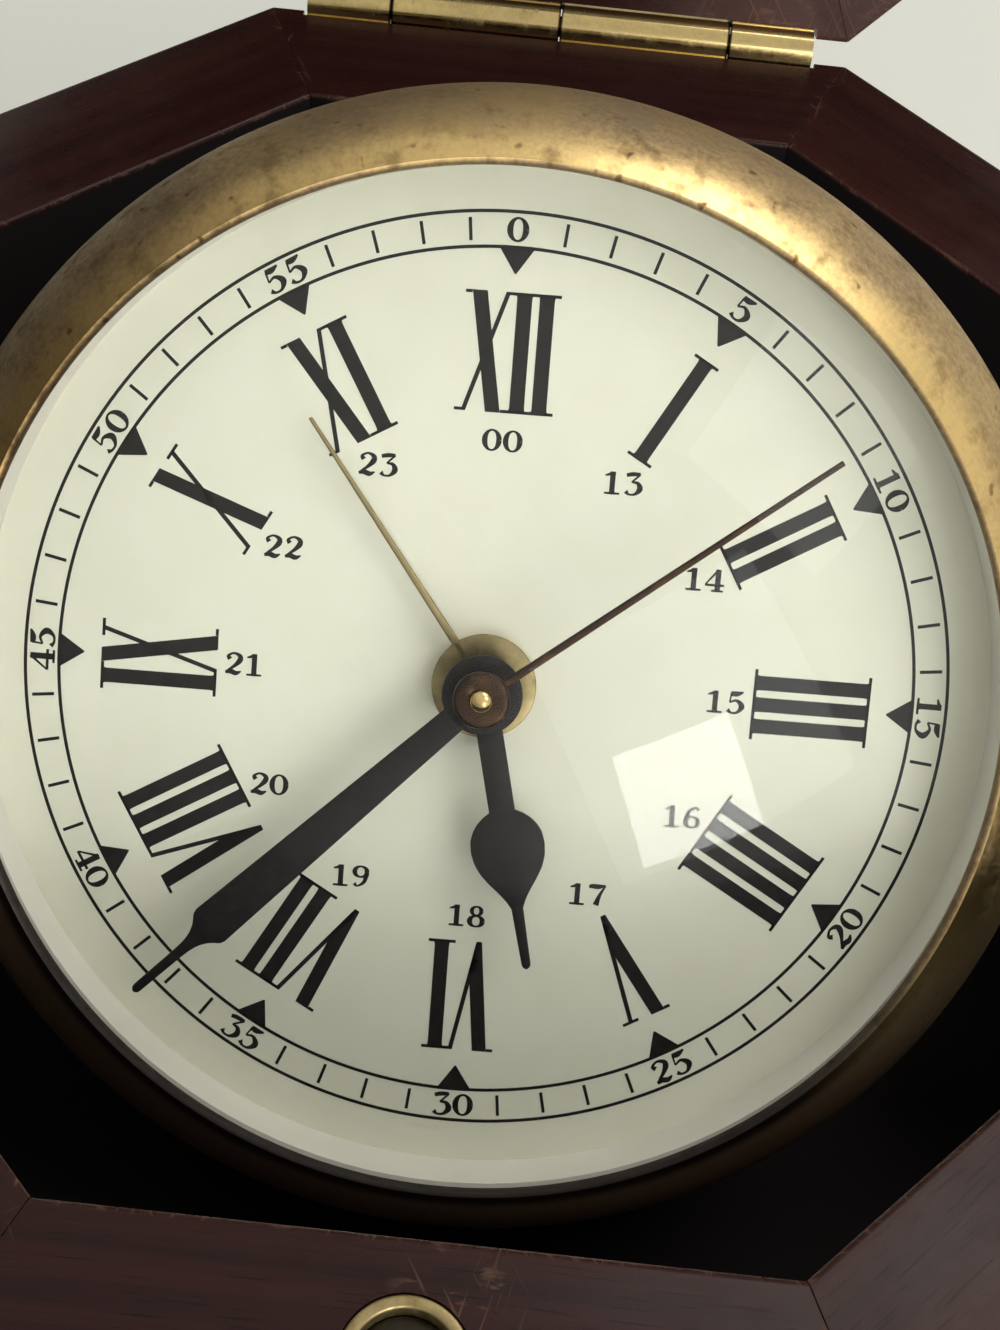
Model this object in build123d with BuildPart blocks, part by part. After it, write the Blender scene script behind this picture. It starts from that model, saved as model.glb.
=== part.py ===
"""Ship's alarm clock that tilts on side pivots in an octagonal mahogany box with a hinged lid.

Millimetres. The origin is on the table under the middle of the base, +Z is up, the catch
is at the front on -Y and the hinge at the back on +Y.
"""
from build123d import *
from math import cos, radians, sin, sqrt, tan
import os

os.makedirs("parts", exist_ok=True)

# Box: eight mitred staves, a floor panel and a lid of the same outline
across_flats = 165.0
wall_share = 0.103
floor_thickness = 8.0
recess_below_bezel = 9.5
lid_depth = 38.0
lid_top_thickness = 8.0
edge_chamfer = 0.6
lid_top_chamfer = 2.5
closing_gap = 0.4
joint_clearance = 0.05
glue_line = 0.02
baize_thickness = 1.5
baize_margin = 3.0

# Catch: a brass cup with a magnet in the front rim, a steel strike in the lid
catch_from_front = 8.4
catch_radius = 4.6
catch_wall = 1.0
catch_depth = 6.0
magnet_recess = 1.2
strike_thickness = 1.2

# Hinge: two equal leaves let into the back faces, a barrel of four knuckles and a pin
lid_open_angle = 110.0
hinge_length = 60.0
hinge_offset = 1.5
barrel_radius = 2.5
hinge_pin_radius = 1.2
leaf_thickness = 1.2
leaf_height = 14.0
knuckle_gap = 0.15
barrel_clearance = 0.3
channel_clearance = 0.4
knuckle_shares = ((-1 / 2, -1 / 3), (0, 1 / 3))
screw_place_shares = (-0.36, 0, 0.36)
screw_row_share = 0.62
screw_head_radius = 2.0
screw_shank_radius = 0.9
screw_length = 9.0
screw_half_angle = 41.0
slot_width = 0.5
slot_depth = 0.5

# Tilting clock: where its pivots are and how far it is tilted up
tilt = 48.13
pivot_depth = 16.06
dial_ahead = 15.3
pivot_radius = 3.0
pivot_end_gap = 1.0
collar_radius = 5.5
bush_radius = 4.5
bush_length = 10.0
bush_flange_radius = 6.5
bush_flange_thickness = 1.0
washer_thickness = 1.0

# Clock case: its share of the recess, steps between its radii, heights over the dial's face
bezel_share = 0.8015
bezel_overhang = 5.0
bezel_width = 8.1
drum_wall = 1.5
drum_back = 24.0
drum_lip = 5.5
flange_thickness = 1.2
flange_drop = 4.6
bezel_lip_height = 9.2
bezel_lip_edge = 0.5
bezel_lip_thickness = 1.0
bezel_shoulder_drop = 3.4
bezel_skirt_drop = 6.0
bezel_bulge = 1.8
bezel_inner_bulge = 0.8
bezel_thickness = 1.2
dial_thickness = 0.6
dial_margin = 0.2
dial_roll = 1.6
crystal_overlap = 2.2
crystal_apex = 18.0
crystal_thickness = 1.8
crystal_lip_gap = 0.2
gasket_thickness = 0.6
gasket_height = 2.0
spacer_thickness = 1.6
back_cover_margin = 1.0
back_cover_thickness = 1.5
cover_screw_count = 4
cover_screw_length = 3.0
cover_screw_radius = 1.0
cover_screw_head = 1.8
cover_screw_head_height = 1.0

# Hands: angles clockwise from twelve at rest, heights over the dial, sizes of the blades
alarm_angle = 323.1
hour_angle = 166.9
minute_angle = 224.9
second_angle = 52.0
hand_thickness = 0.45
alarm_height = 1.4
hour_height = 3.8
minute_height = 6.1
second_height = 8.2
alarm_disc_radius = 4.65
alarm_length_share = 0.63
alarm_root = 0.8
alarm_tip = 0.3
hour_length_share = 0.574
hour_shank = 2.3
hour_bulb = 6.6
hour_tip = 0.8
hour_hub = 3.2
bulb_start_share = 0.43
bulb_widest_share = 0.56
bulb_end_share = 0.78
minute_length_share = 0.919
minute_root = 2.2
minute_shoulder = 3.8
minute_tip = 0.8
minute_hub = 3.5
shoulder_start_share = 0.78
shoulder_end_share = 0.86
second_length_share = 0.815
second_root = 0.7
second_tip = 0.45
second_boss = 2.45
second_boss_height = 1.2
second_cap_radius = 1.0
second_cap_height = 0.8

# Nested tubes of the hand stack, from the fixed bush inwards, and the arbors
stem_radius = 3.3
alarm_tube_radius = 2.7
hour_tube_radius = 2.15
cannon_radius = 1.6
second_arbor_radius = 0.85
knob_arbor_radius = 0.8
thin_arbor_radius = 0.35
nut_thickness = 1.1
nut_across_flats = 7.8

# Movement: a square case in two shells with a middle plate, behind the dial
case_share = 0.61
case_corner = 3.0
case_wall = 1.5
front_shell_depth = 7.6
middle_plate_thickness = 1.0
movement_depth = 18.0
pivot_hole_depth = 0.8
wheel_thickness = 0.8
pinion_thickness = 1.1
layer_gap = 0.55
end_shake = 0.2

# Wheel train: distances between arbors as shares of the case, their directions, tooth counts
setting_share = 0.1655
third_share = 0.14
intermediate_share = 0.149
rotor_share = 0.121
time_arbor_angle = 90.0
alarm_arbor_angle = 210.0
rotor_lead_angle = 15.0
cannon_teeth = 12
minute_wheel_teeth = 36
minute_pinion_teeth = 10
hour_wheel_teeth = 40
alarm_pinion_teeth = 10
alarm_wheel_teeth = 40
second_pinion_teeth = 8
third_wheel_teeth = 60
third_pinion_teeth = 10
centre_wheel_teeth = 80
intermediate_pinion_teeth = 8
second_wheel_teeth = 40
rotor_pinion_teeth = 8
intermediate_wheel_teeth = 48
addendum_share = 0.85
dedendum_share = 1.15
tooth_tip_share = 0.18
tooth_root_share = 0.56

# Motor, circuit, buzzer and battery inside the movement, placed by shares of the case
rotor_radius = 1.8
rotor_height = 1.2
stator_gap = 0.3
stator_ring = 4.0
stator_width = 3.5
stator_thickness = 0.8
coil_side_share = 0.345
coil_low_share = 0.168
coil_high_share = 0.263
coil_core_radius = 1.2
coil_radius = 3.2
coil_winding_share = 0.72
coil_lift = 2.6
board_side_share = 0.2585
board_up_share = 0.293
board_width_share = 0.379
board_height_share = 0.2585
board_thickness = 0.8
board_stand_off = 3.0
board_post_share = 0.35
post_radius = 1.5
quartz_radius = 1.0
quartz_length = 6.0
buzzer_side_share = 0.302
buzzer_up_share = 0.2415
buzzer_radius_share = 0.1465
buzzer_height = 2.5
battery_radius_share = 0.125
battery_length_share = 0.862
battery_nub_radius = 2.75
battery_nub_length = 1.0
contact_thickness = 0.5
contact_side = 11.0
contact_root_radius = 4.0
contact_tip_radius = 2.0

# Controls on the back cover
time_knob_share = 0.086
alarm_knob_share = 0.0725
knob_height = 5.0
knob_end_wall = 1.0
knob_stand_off = 0.5
knob_ridge_count = 18
ridge_radius = 0.45
arbor_hole_clearance = 0.4
door_length_share = 0.931
door_spare = 0.9
door_lip = 1.5
door_thickness = 1.2
door_grip_length = 14.0
door_grip_width = 3.0
door_grip_height = 1.2
door_clearance = 0.2
switch_side_share = 0.448
switch_up_share = 0.276
switch_travel = 5.0
switch_stem_length = 4.6
switch_stem_width = 2.8
switch_thumb_length = 7.0
switch_thumb_width = 6.0
switch_thumb_height = 2.0
switch_flange_thickness = 1.0
switch_flange_margin = 1.5
switch_clearance = 0.15

# Sizes that follow from the driving ones
half = across_flats / 2
wall = across_flats * wall_share
inner = half - wall
bezel_radius = inner * bezel_share
bezel_lip_radius = bezel_radius - bezel_width
drum_radius = bezel_radius - bezel_overhang
recess_depth = bezel_radius + recess_below_bezel
alarm_length = bezel_lip_radius * alarm_length_share
hour_length = bezel_lip_radius * hour_length_share
minute_length = bezel_lip_radius * minute_length_share
second_length = bezel_lip_radius * second_length_share
case_side = 2 * drum_radius * case_share
setting_distance = case_side * setting_share
third_distance = case_side * third_share
intermediate_distance = case_side * intermediate_share
rotor_distance = case_side * rotor_share
third_arbor_angle = (time_arbor_angle + alarm_arbor_angle) / 2
intermediate_arbor_angle = third_arbor_angle + 180
rotor_arbor_angle = intermediate_arbor_angle + rotor_lead_angle
coil_x = case_side * coil_side_share
coil_low_y = -case_side * coil_low_share
coil_high_y = case_side * coil_high_share
board_x = -case_side * board_side_share
board_y = case_side * board_up_share
board_width = case_side * board_width_share
board_height = case_side * board_height_share
buzzer_x = -case_side * buzzer_side_share
buzzer_y = case_side * buzzer_up_share
buzzer_radius = case_side * buzzer_radius_share
battery_length = case_side * battery_length_share
battery_radius = case_side * battery_radius_share
time_knob_radius = case_side * time_knob_share
alarm_knob_radius = case_side * alarm_knob_share
door_length = case_side * door_length_share
door_width = 2 * battery_radius + door_spare
switch_x = -case_side * switch_side_share
switch_y = case_side * switch_up_share
corner_share = tan(radians(22.5))
rim_z = baize_thickness + floor_thickness + recess_depth
hinge_reach = half + hinge_offset
hinge_z = rim_z + closing_gap / 2
hinge_bore = hinge_pin_radius + joint_clearance
hinge_seat_length = hinge_length + 2 * channel_clearance
screw_places = [(share * hinge_length, leaf_height * screw_row_share) for share in screw_place_shares]
screw_head_height = (screw_head_radius - screw_shank_radius) / tan(radians(screw_half_angle))
catch_y = catch_from_front - half
dial_axis = Vector(0, -sin(radians(tilt)), cos(radians(tilt)))
dial_up = Vector(0, cos(radians(tilt)), sin(radians(tilt)))
pivot = Vector(0, 0, rim_z - pivot_depth)
dial_origin = pivot + dial_axis * dial_ahead


def turned(plane, angle):
    """A plane turned about its own normal, counter-clockwise."""
    x_dir = plane.x_dir * cos(radians(angle)) + plane.y_dir * sin(radians(angle))
    return Plane(plane.origin, x_dir=x_dir, z_dir=plane.z_dir)


# Working planes of the base, of each hinge half, of the open lid and of the tilted clock
lid_up = (0, sin(radians(lid_open_angle)), cos(radians(lid_open_angle)))
base_plane = Plane((0, 0, baize_thickness))
rim_plane = Plane((0, 0, rim_z))
base_hinge = Plane((0, hinge_reach, hinge_z), x_dir=(1, 0, 0), z_dir=(0, 0, -1))
lid_hinge = Plane((0, hinge_reach, hinge_z), x_dir=(-1, 0, 0), z_dir=lid_up)
lid_middle = lid_hinge.from_local_coords((0, hinge_reach, closing_gap / 2))
lid_plane = Plane(lid_middle, x_dir=(1, 0, 0), z_dir=lid_up)
tilt_plane = Plane(dial_origin, x_dir=(1, 0, 0), z_dir=dial_axis)
face_plane = turned(tilt_plane, dial_roll)
section_plane = Plane(dial_origin, x_dir=(1, 0, 0), z_dir=-dial_up)
turning_axis = Axis(dial_origin, dial_axis)


def write_piece(builder, name):
    """Label a finished piece and write it as a node of its own."""
    builder.part.label = name
    export_step(builder.part, f"parts/{name}.step")


# Base and lid walls


def stave(plane, turn, height):
    """One mitred stave of the octagon on its side of the box, with its long edges eased."""
    side_plane = turned(plane, turn)
    with BuildPart() as piece:
        with BuildSketch(side_plane):
            Polygon(
                (glue_line - half * corner_share, -half),
                (half * corner_share - glue_line, -half),
                (inner * corner_share - glue_line, -inner),
                (glue_line - inner * corner_share, -inner),
                align=None,
            )
        extrude(amount=height)
        chamfer(piece.edges().filter_by(Axis((0, 0, 0), side_plane.x_dir)), edge_chamfer)
    return piece.part


def leaf_face(hinge_plane):
    """Plane of a leaf's outer face: x along the hinge, y away from the joint, z into the wood."""
    origin = hinge_plane.from_local_coords((0, hinge_offset, 0))
    return Plane(origin, x_dir=-hinge_plane.x_dir, z_dir=hinge_plane.y_dir)


def barrel_plane(hinge_plane):
    """Plane across the hinge axis, with its normal along the hinge."""
    return Plane(hinge_plane.origin, x_dir=hinge_plane.y_dir, z_dir=hinge_plane.x_dir)


def cut_hinge_seat(hinge_plane):
    """Cut the barrel's channel, the leaf's pocket and the screw holes out of a back stave."""
    with BuildSketch(barrel_plane(hinge_plane)) as channel:
        Circle(barrel_radius + channel_clearance)
    extrude(channel.sketch, amount=hinge_seat_length / 2, both=True, mode=Mode.SUBTRACT)
    with BuildSketch(leaf_face(hinge_plane)) as pocket:
        Rectangle(hinge_seat_length, leaf_height + joint_clearance, align=(Align.CENTER, Align.MIN))
    extrude(pocket.sketch, amount=leaf_thickness + joint_clearance, mode=Mode.SUBTRACT)
    with BuildSketch(leaf_face(hinge_plane)) as pilots:
        with Locations(*screw_places):
            Circle(screw_shank_radius + joint_clearance)
    extrude(pilots.sketch, amount=screw_length + joint_clearance, mode=Mode.SUBTRACT)


def cut_bush_hole(side):
    """Cut the blind hole of a pivot bush into the inner face of a side stave."""
    with BuildSketch(Plane((side * inner, 0, pivot.Z), z_dir=(side, 0, 0))) as hole:
        Circle(bush_radius + joint_clearance)
    extrude(hole.sketch, amount=bush_length + joint_clearance, mode=Mode.SUBTRACT)


base_wall_height = rim_z - baize_thickness

with BuildPart() as base_stave_front:
    add(stave(base_plane, 0, base_wall_height))
    with BuildSketch(rim_plane):
        with Locations((0, catch_y)):
            Circle(catch_radius + joint_clearance)
    extrude(amount=-catch_depth - joint_clearance, mode=Mode.SUBTRACT)
write_piece(base_stave_front, "base_stave_front")

with BuildPart() as base_stave_back:
    add(stave(base_plane, 180, base_wall_height))
    cut_hinge_seat(base_hinge)
write_piece(base_stave_back, "base_stave_back")

with BuildPart() as base_pivot_staves:
    for side, turn in ((1, 90), (-1, 270)):
        add(stave(base_plane, turn, base_wall_height))
        cut_bush_hole(side)
write_piece(base_pivot_staves, "base_pivot_staves")

with BuildPart() as base_corner_staves:
    for turn in (45, 135, 225, 315):
        add(stave(base_plane, turn, base_wall_height))
write_piece(base_corner_staves, "base_corner_staves")

with BuildPart() as base_floor:
    with BuildSketch(base_plane):
        RegularPolygon(inner - joint_clearance, 8, major_radius=False, rotation=22.5)
    extrude(amount=floor_thickness)
write_piece(base_floor, "base_floor")

with BuildPart() as base_baize:
    with BuildSketch(Plane.XY):
        RegularPolygon(half - baize_margin, 8, major_radius=False, rotation=22.5)
    extrude(amount=baize_thickness)
write_piece(base_baize, "base_baize")

with BuildPart() as lid_stave_front:
    add(stave(lid_plane, 0, lid_depth))
    with BuildSketch(lid_plane):
        with Locations((0, catch_y)):
            Circle(catch_radius + joint_clearance)
    extrude(amount=strike_thickness + joint_clearance, mode=Mode.SUBTRACT)
write_piece(lid_stave_front, "lid_stave_front")

with BuildPart() as lid_stave_back:
    add(stave(lid_plane, 180, lid_depth))
    cut_hinge_seat(lid_hinge)
write_piece(lid_stave_back, "lid_stave_back")

with BuildPart() as lid_side_staves:
    for turn in (45, 90, 135, 225, 270, 315):
        add(stave(lid_plane, turn, lid_depth))
write_piece(lid_side_staves, "lid_side_staves")

with BuildPart() as lid_top:
    with BuildSketch(lid_plane.offset(lid_depth)):
        RegularPolygon(half, 8, major_radius=False, rotation=22.5)
    extrude(amount=lid_top_thickness)
    top_face = lid_top.faces().sort_by(Axis(lid_middle, lid_up))[-1]
    chamfer(top_face.edges(), lid_top_chamfer)
write_piece(lid_top, "lid_top")

# Catch in the front rim and its strike in the lid

with BuildPart() as catch_cup:
    with BuildSketch(rim_plane):
        with Locations((0, catch_y)):
            Circle(catch_radius)
    extrude(amount=-catch_depth)
    with BuildSketch(rim_plane):
        with Locations((0, catch_y)):
            Circle(catch_radius - catch_wall)
    extrude(amount=catch_wall - catch_depth, mode=Mode.SUBTRACT)
write_piece(catch_cup, "catch_cup")

with BuildPart() as catch_magnet:
    with BuildSketch(rim_plane.offset(-magnet_recess)):
        with Locations((0, catch_y)):
            Circle(catch_radius - catch_wall - joint_clearance)
    extrude(amount=magnet_recess + catch_wall - catch_depth)
write_piece(catch_magnet, "catch_magnet")

with BuildPart() as lid_strike:
    with BuildSketch(lid_plane):
        with Locations((0, catch_y)):
            Circle(catch_radius)
    extrude(amount=strike_thickness)
write_piece(lid_strike, "lid_strike")

# Hinge


def hinge_leaf(hinge_plane):
    """One leaf: a plate let into the back face, with two knuckles rolled at its edge."""
    face = leaf_face(hinge_plane)
    across = barrel_plane(hinge_plane)
    with BuildPart() as piece:
        with BuildSketch(face):
            with Locations((0, closing_gap / 2)):
                Rectangle(hinge_length, leaf_height - closing_gap / 2, align=(Align.CENTER, Align.MIN))
        extrude(amount=leaf_thickness)
        with BuildSketch(across):
            Circle(barrel_radius + barrel_clearance)
        extrude(amount=hinge_length, both=True, mode=Mode.SUBTRACT)
        for start_share, end_share in knuckle_shares:
            start = start_share * hinge_length + knuckle_gap / 2
            length = (end_share - start_share) * hinge_length - knuckle_gap
            with BuildSketch(across.offset(start)):
                Circle(barrel_radius)
            extrude(amount=length)
            with BuildSketch(face):
                with Locations((-start, closing_gap / 2)):
                    Rectangle(length, barrel_radius + barrel_clearance, align=(Align.MAX, Align.MIN))
            extrude(amount=leaf_thickness)
        with BuildSketch(across):
            Circle(hinge_bore)
        extrude(amount=hinge_length, both=True, mode=Mode.SUBTRACT)
        with BuildSketch(face):
            with Locations(*screw_places):
                Circle(screw_head_radius + joint_clearance)
        extrude(amount=screw_head_height, taper=screw_half_angle, mode=Mode.SUBTRACT)
        with BuildSketch(face):
            with Locations(*screw_places):
                Circle(screw_shank_radius + joint_clearance)
        extrude(amount=leaf_thickness, mode=Mode.SUBTRACT)
    return piece


def wood_screws(hinge_plane):
    """Three slotted countersunk screws, flush with the leaf they hold."""
    face = leaf_face(hinge_plane)
    with BuildPart() as piece:
        with BuildSketch(face):
            with Locations(*screw_places):
                Circle(screw_head_radius)
        extrude(amount=screw_head_height, taper=screw_half_angle)
        with BuildSketch(face):
            with Locations(*screw_places):
                Circle(screw_shank_radius)
        extrude(amount=screw_length)
        with BuildSketch(face):
            with Locations(*screw_places):
                Rectangle(2 * screw_head_radius, slot_width)
        extrude(amount=slot_depth, mode=Mode.SUBTRACT)
    return piece


write_piece(hinge_leaf(base_hinge), "hinge_leaf_base")
write_piece(hinge_leaf(lid_hinge), "hinge_leaf_lid")
write_piece(wood_screws(base_hinge), "hinge_screws_base")
write_piece(wood_screws(lid_hinge), "hinge_screws_lid")

with BuildPart() as hinge_pin:
    with BuildSketch(barrel_plane(base_hinge)):
        Circle(hinge_pin_radius)
    extrude(amount=hinge_length / 2, both=True)
write_piece(hinge_pin, "hinge_pin")

# Pivots of the tilting clock: bushes and washers in the box, pins on the drum

flange_x = inner - bush_flange_thickness
washer_x = flange_x - joint_clearance - washer_thickness
collar_x = washer_x - joint_clearance
pin_end = inner + bush_length - pivot_end_gap


def side_plane_at(side, x):
    """Plane across one pivot at a distance from the middle, with its normal outwards."""
    return Plane((side * x, 0, pivot.Z), z_dir=(side, 0, 0))


with BuildPart() as pivot_bushes:
    for side in (-1, 1):
        with BuildSketch(side_plane_at(side, flange_x)):
            Circle(bush_flange_radius)
            Circle(pivot_radius + joint_clearance, mode=Mode.SUBTRACT)
        extrude(amount=bush_flange_thickness)
        with BuildSketch(side_plane_at(side, inner)):
            Circle(bush_radius)
            Circle(pivot_radius + joint_clearance, mode=Mode.SUBTRACT)
        extrude(amount=bush_length)
write_piece(pivot_bushes, "pivot_bushes")

with BuildPart() as pivot_washers:
    for side in (-1, 1):
        with BuildSketch(side_plane_at(side, washer_x)):
            Circle(collar_radius)
            Circle(pivot_radius + joint_clearance, mode=Mode.SUBTRACT)
        extrude(amount=washer_thickness)
write_piece(pivot_washers, "pivot_washers")

with BuildPart() as pivot_pins:
    for side in (-1, 1):
        with BuildSketch(side_plane_at(side, drum_radius - drum_wall)):
            Circle(collar_radius)
        extrude(amount=collar_x - drum_radius + drum_wall)
    with BuildSketch(tilt_plane):
        Circle(drum_radius + joint_clearance)
    extrude(amount=-drum_back, mode=Mode.SUBTRACT)
    for side in (-1, 1):
        with BuildSketch(side_plane_at(side, drum_radius - drum_wall)):
            Circle(pivot_radius)
        extrude(amount=pin_end - drum_radius + drum_wall)
write_piece(pivot_pins, "pivot_pins")

# Clock case: drum, bezel, glass and dial, turned about the dial axis

crystal_radius = bezel_lip_radius + crystal_overlap
crystal_lip_height = bezel_lip_height - bezel_lip_thickness - crystal_lip_gap
crystal_sag = crystal_apex - crystal_lip_height
crystal_sphere = (bezel_lip_radius ** 2 + crystal_sag ** 2) / (2 * crystal_sag)
crystal_centre = crystal_apex - crystal_sphere
flange_radius = bezel_radius - bezel_thickness - joint_clearance
back_cover_radius = drum_radius - back_cover_margin
cover_screw_circle = drum_radius - drum_lip / 2 - drum_wall / 2
cover_outer = -drum_back - back_cover_thickness


def crystal_height(radius, sphere):
    """Height of a glass surface over the dial at a radius, for one of its two spheres."""
    return crystal_centre + sqrt(sphere ** 2 - radius ** 2)


def bulged(start, end, bulge):
    """Middle point of an arc that stands a bulge off its chord, to the left of its way."""
    middle = (Vector(*start) + Vector(*end)) / 2
    way = (Vector(*end) - Vector(*start)).normalized()
    return middle + Vector(-way.Y, way.X) * bulge


crystal_inner_sphere = crystal_sphere - crystal_thickness
crystal_edge_top = crystal_height(crystal_radius, crystal_sphere)
crystal_edge_bottom = crystal_height(crystal_radius, crystal_inner_sphere)

with BuildPart() as drum:
    with BuildSketch(section_plane):
        with BuildLine():
            Polyline(
                (drum_radius - drum_lip, -drum_back),
                (drum_radius, -drum_back),
                (drum_radius, -flange_drop - flange_thickness),
                (flange_radius, -flange_drop - flange_thickness),
                (flange_radius, -flange_drop),
                (drum_radius, -flange_drop),
                (drum_radius, -dial_thickness),
                (drum_radius - drum_wall, -dial_thickness),
                (drum_radius - drum_wall, drum_wall - drum_back),
                (drum_radius - drum_lip, drum_wall - drum_back),
                close=True,
            )
        make_face()
    revolve(axis=turning_axis)
    with BuildSketch(Plane(pivot, x_dir=(0, 1, 0), z_dir=(1, 0, 0))):
        Circle(pivot_radius + joint_clearance)
    extrude(amount=drum_radius, both=True, mode=Mode.SUBTRACT)
    with BuildSketch(tilt_plane.offset(-drum_back)):
        with PolarLocations(cover_screw_circle, cover_screw_count, start_angle=45):
            Circle(cover_screw_radius + joint_clearance)
    extrude(amount=drum_wall, mode=Mode.SUBTRACT)
write_piece(drum, "drum")

with BuildPart() as bezel:
    lip_inside = (bezel_lip_radius, bezel_lip_height - bezel_lip_edge)
    lip_crest = (bezel_lip_radius + bezel_lip_edge, bezel_lip_height)
    shoulder = (bezel_radius, -bezel_shoulder_drop)
    inner_shoulder = (bezel_radius - bezel_thickness, -bezel_shoulder_drop)
    under_lip_radius = crystal_radius + 2 * crystal_lip_gap
    under_lip = (under_lip_radius, crystal_height(under_lip_radius, crystal_sphere) + crystal_lip_gap)
    with BuildSketch(section_plane):
        with BuildLine():
            Polyline((bezel_lip_radius, bezel_lip_height - bezel_lip_thickness), lip_inside, lip_crest)
            ThreePointArc(lip_crest, bulged(lip_crest, shoulder, bezel_bulge), shoulder)
            Polyline(
                shoulder,
                (bezel_radius, -bezel_skirt_drop),
                (bezel_radius - bezel_thickness, -bezel_skirt_drop),
                inner_shoulder,
            )
            ThreePointArc(inner_shoulder, bulged(inner_shoulder, under_lip, -bezel_inner_bulge), under_lip)
            Line(under_lip, (bezel_lip_radius, bezel_lip_height - bezel_lip_thickness))
        make_face()
    revolve(axis=turning_axis)
write_piece(bezel, "bezel")

with BuildPart() as crystal:
    middle_radius = crystal_radius / 2
    with BuildSketch(section_plane):
        with BuildLine():
            ThreePointArc(
                (0, crystal_apex),
                (middle_radius, crystal_height(middle_radius, crystal_sphere)),
                (crystal_radius, crystal_edge_top),
            )
            Line((crystal_radius, crystal_edge_top), (crystal_radius, crystal_edge_bottom))
            ThreePointArc(
                (crystal_radius, crystal_edge_bottom),
                (middle_radius, crystal_height(middle_radius, crystal_inner_sphere)),
                (0, crystal_apex - crystal_thickness),
            )
            Line((0, crystal_apex - crystal_thickness), (0, crystal_apex))
        make_face()
    revolve(axis=turning_axis)
write_piece(crystal, "crystal")

with BuildPart() as crystal_gasket:
    with BuildSketch(tilt_plane.offset(crystal_edge_bottom - gasket_height / 2)):
        Circle(crystal_radius + joint_clearance + gasket_thickness)
        Circle(crystal_radius + joint_clearance, mode=Mode.SUBTRACT)
    extrude(amount=gasket_height)
write_piece(crystal_gasket, "crystal_gasket")

with BuildPart() as spacer_ring:
    with BuildSketch(tilt_plane):
        Circle(crystal_radius)
        Circle(crystal_radius - spacer_thickness, mode=Mode.SUBTRACT)
    extrude(amount=crystal_edge_bottom)
write_piece(spacer_ring, "spacer_ring")

with BuildPart() as dial:
    with BuildSketch(tilt_plane):
        Circle(drum_radius - dial_margin)
        Circle(stem_radius + joint_clearance, mode=Mode.SUBTRACT)
    extrude(amount=-dial_thickness)
write_piece(dial, "dial")

with BuildPart() as dial_nut:
    with BuildSketch(face_plane):
        RegularPolygon(nut_across_flats / 2, 6, major_radius=False)
        Circle(stem_radius + joint_clearance, mode=Mode.SUBTRACT)
    extrude(amount=nut_thickness)
write_piece(dial_nut, "dial_nut")

# Places and heights in the movement: x right, y to twelve, heights from the dial's face


def arbor_place(distance, direction):
    """Place of an arbor at a distance and direction from the middle of the dial."""
    return Vector(distance * cos(radians(direction)), distance * sin(radians(direction)))


middle_place = Vector(0, 0)
time_place = arbor_place(setting_distance, time_arbor_angle)
alarm_place = arbor_place(setting_distance, alarm_arbor_angle)
third_place = arbor_place(third_distance, third_arbor_angle)
intermediate_place = arbor_place(intermediate_distance, intermediate_arbor_angle)
rotor_place = intermediate_place + arbor_place(rotor_distance, rotor_arbor_angle)

case_front = -dial_thickness
inner_front = case_front - case_wall
plate_front = case_front - front_shell_depth
plate_back = plate_front - middle_plate_thickness
case_back = case_front - movement_depth
inner_back = case_back + case_wall
layer_step = wheel_thickness + layer_gap
alarm_layer = inner_front - layer_gap
hour_layer = alarm_layer - layer_step
motion_layer = hour_layer - layer_step
centre_layer = plate_back - layer_gap
third_layer = centre_layer - layer_step
second_layer = third_layer - layer_step
intermediate_layer = second_layer - layer_step
pinion_lead = (pinion_thickness - wheel_thickness) / 2
cannon_end = centre_layer - wheel_thickness - end_shake
rotor_top = intermediate_layer - wheel_thickness - pinion_lead - end_shake
stator_top = rotor_top - (rotor_height - stator_thickness) / 2
coil_height = stator_top + coil_lift
pivot_tip = inner_back - pivot_hole_depth + end_shake
inner_side = case_side / 2 - case_wall
battery_y = battery_radius + joint_clearance - inner_side
battery_height = (inner_front + inner_back) / 2
knob_front = cover_outer - knob_stand_off
knob_back = knob_front - knob_height
arbor_end = knob_back + knob_end_wall


def column(place, radius, low, high, mode=Mode.ADD):
    """Add a round column to the piece being built, between two heights, or cut it out."""
    with BuildSketch(face_plane.offset(low)) as outline:
        with Locations(place):
            Circle(radius)
    extrude(outline.sketch, amount=high - low, mode=mode)


def bore(place, radius, low, high):
    """Cut a round hole out of the piece being built, between two heights."""
    column(place, radius, low, high, mode=Mode.SUBTRACT)


def toothed(place, top, thickness, teeth, module, phase):
    """Add a toothed wheel: straight flanked teeth, one of them centred on the phase."""
    tip_radius = module * (teeth / 2 + addendum_share)
    root_radius = module * (teeth / 2 - dedendum_share)
    pitch = 360 / teeth
    corners = (
        (root_radius, -tooth_root_share / 2),
        (tip_radius, -tooth_tip_share / 2),
        (tip_radius, tooth_tip_share / 2),
        (root_radius, tooth_root_share / 2),
    )
    outline = []
    for tooth in range(teeth):
        for radius, turn_share in corners:
            outline.append(arbor_place(radius, phase + pitch * (tooth + turn_share)))
    with BuildSketch(face_plane.offset(top - thickness)) as blank:
        with Locations(place):
            Polygon(*outline, align=None)
    extrude(blank.sketch, amount=thickness)


def gap_phase(direction, teeth):
    """Phase that puts a tooth gap of an outer wheel towards the wheel it meshes with."""
    return direction + 180 + 180 / teeth


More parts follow.
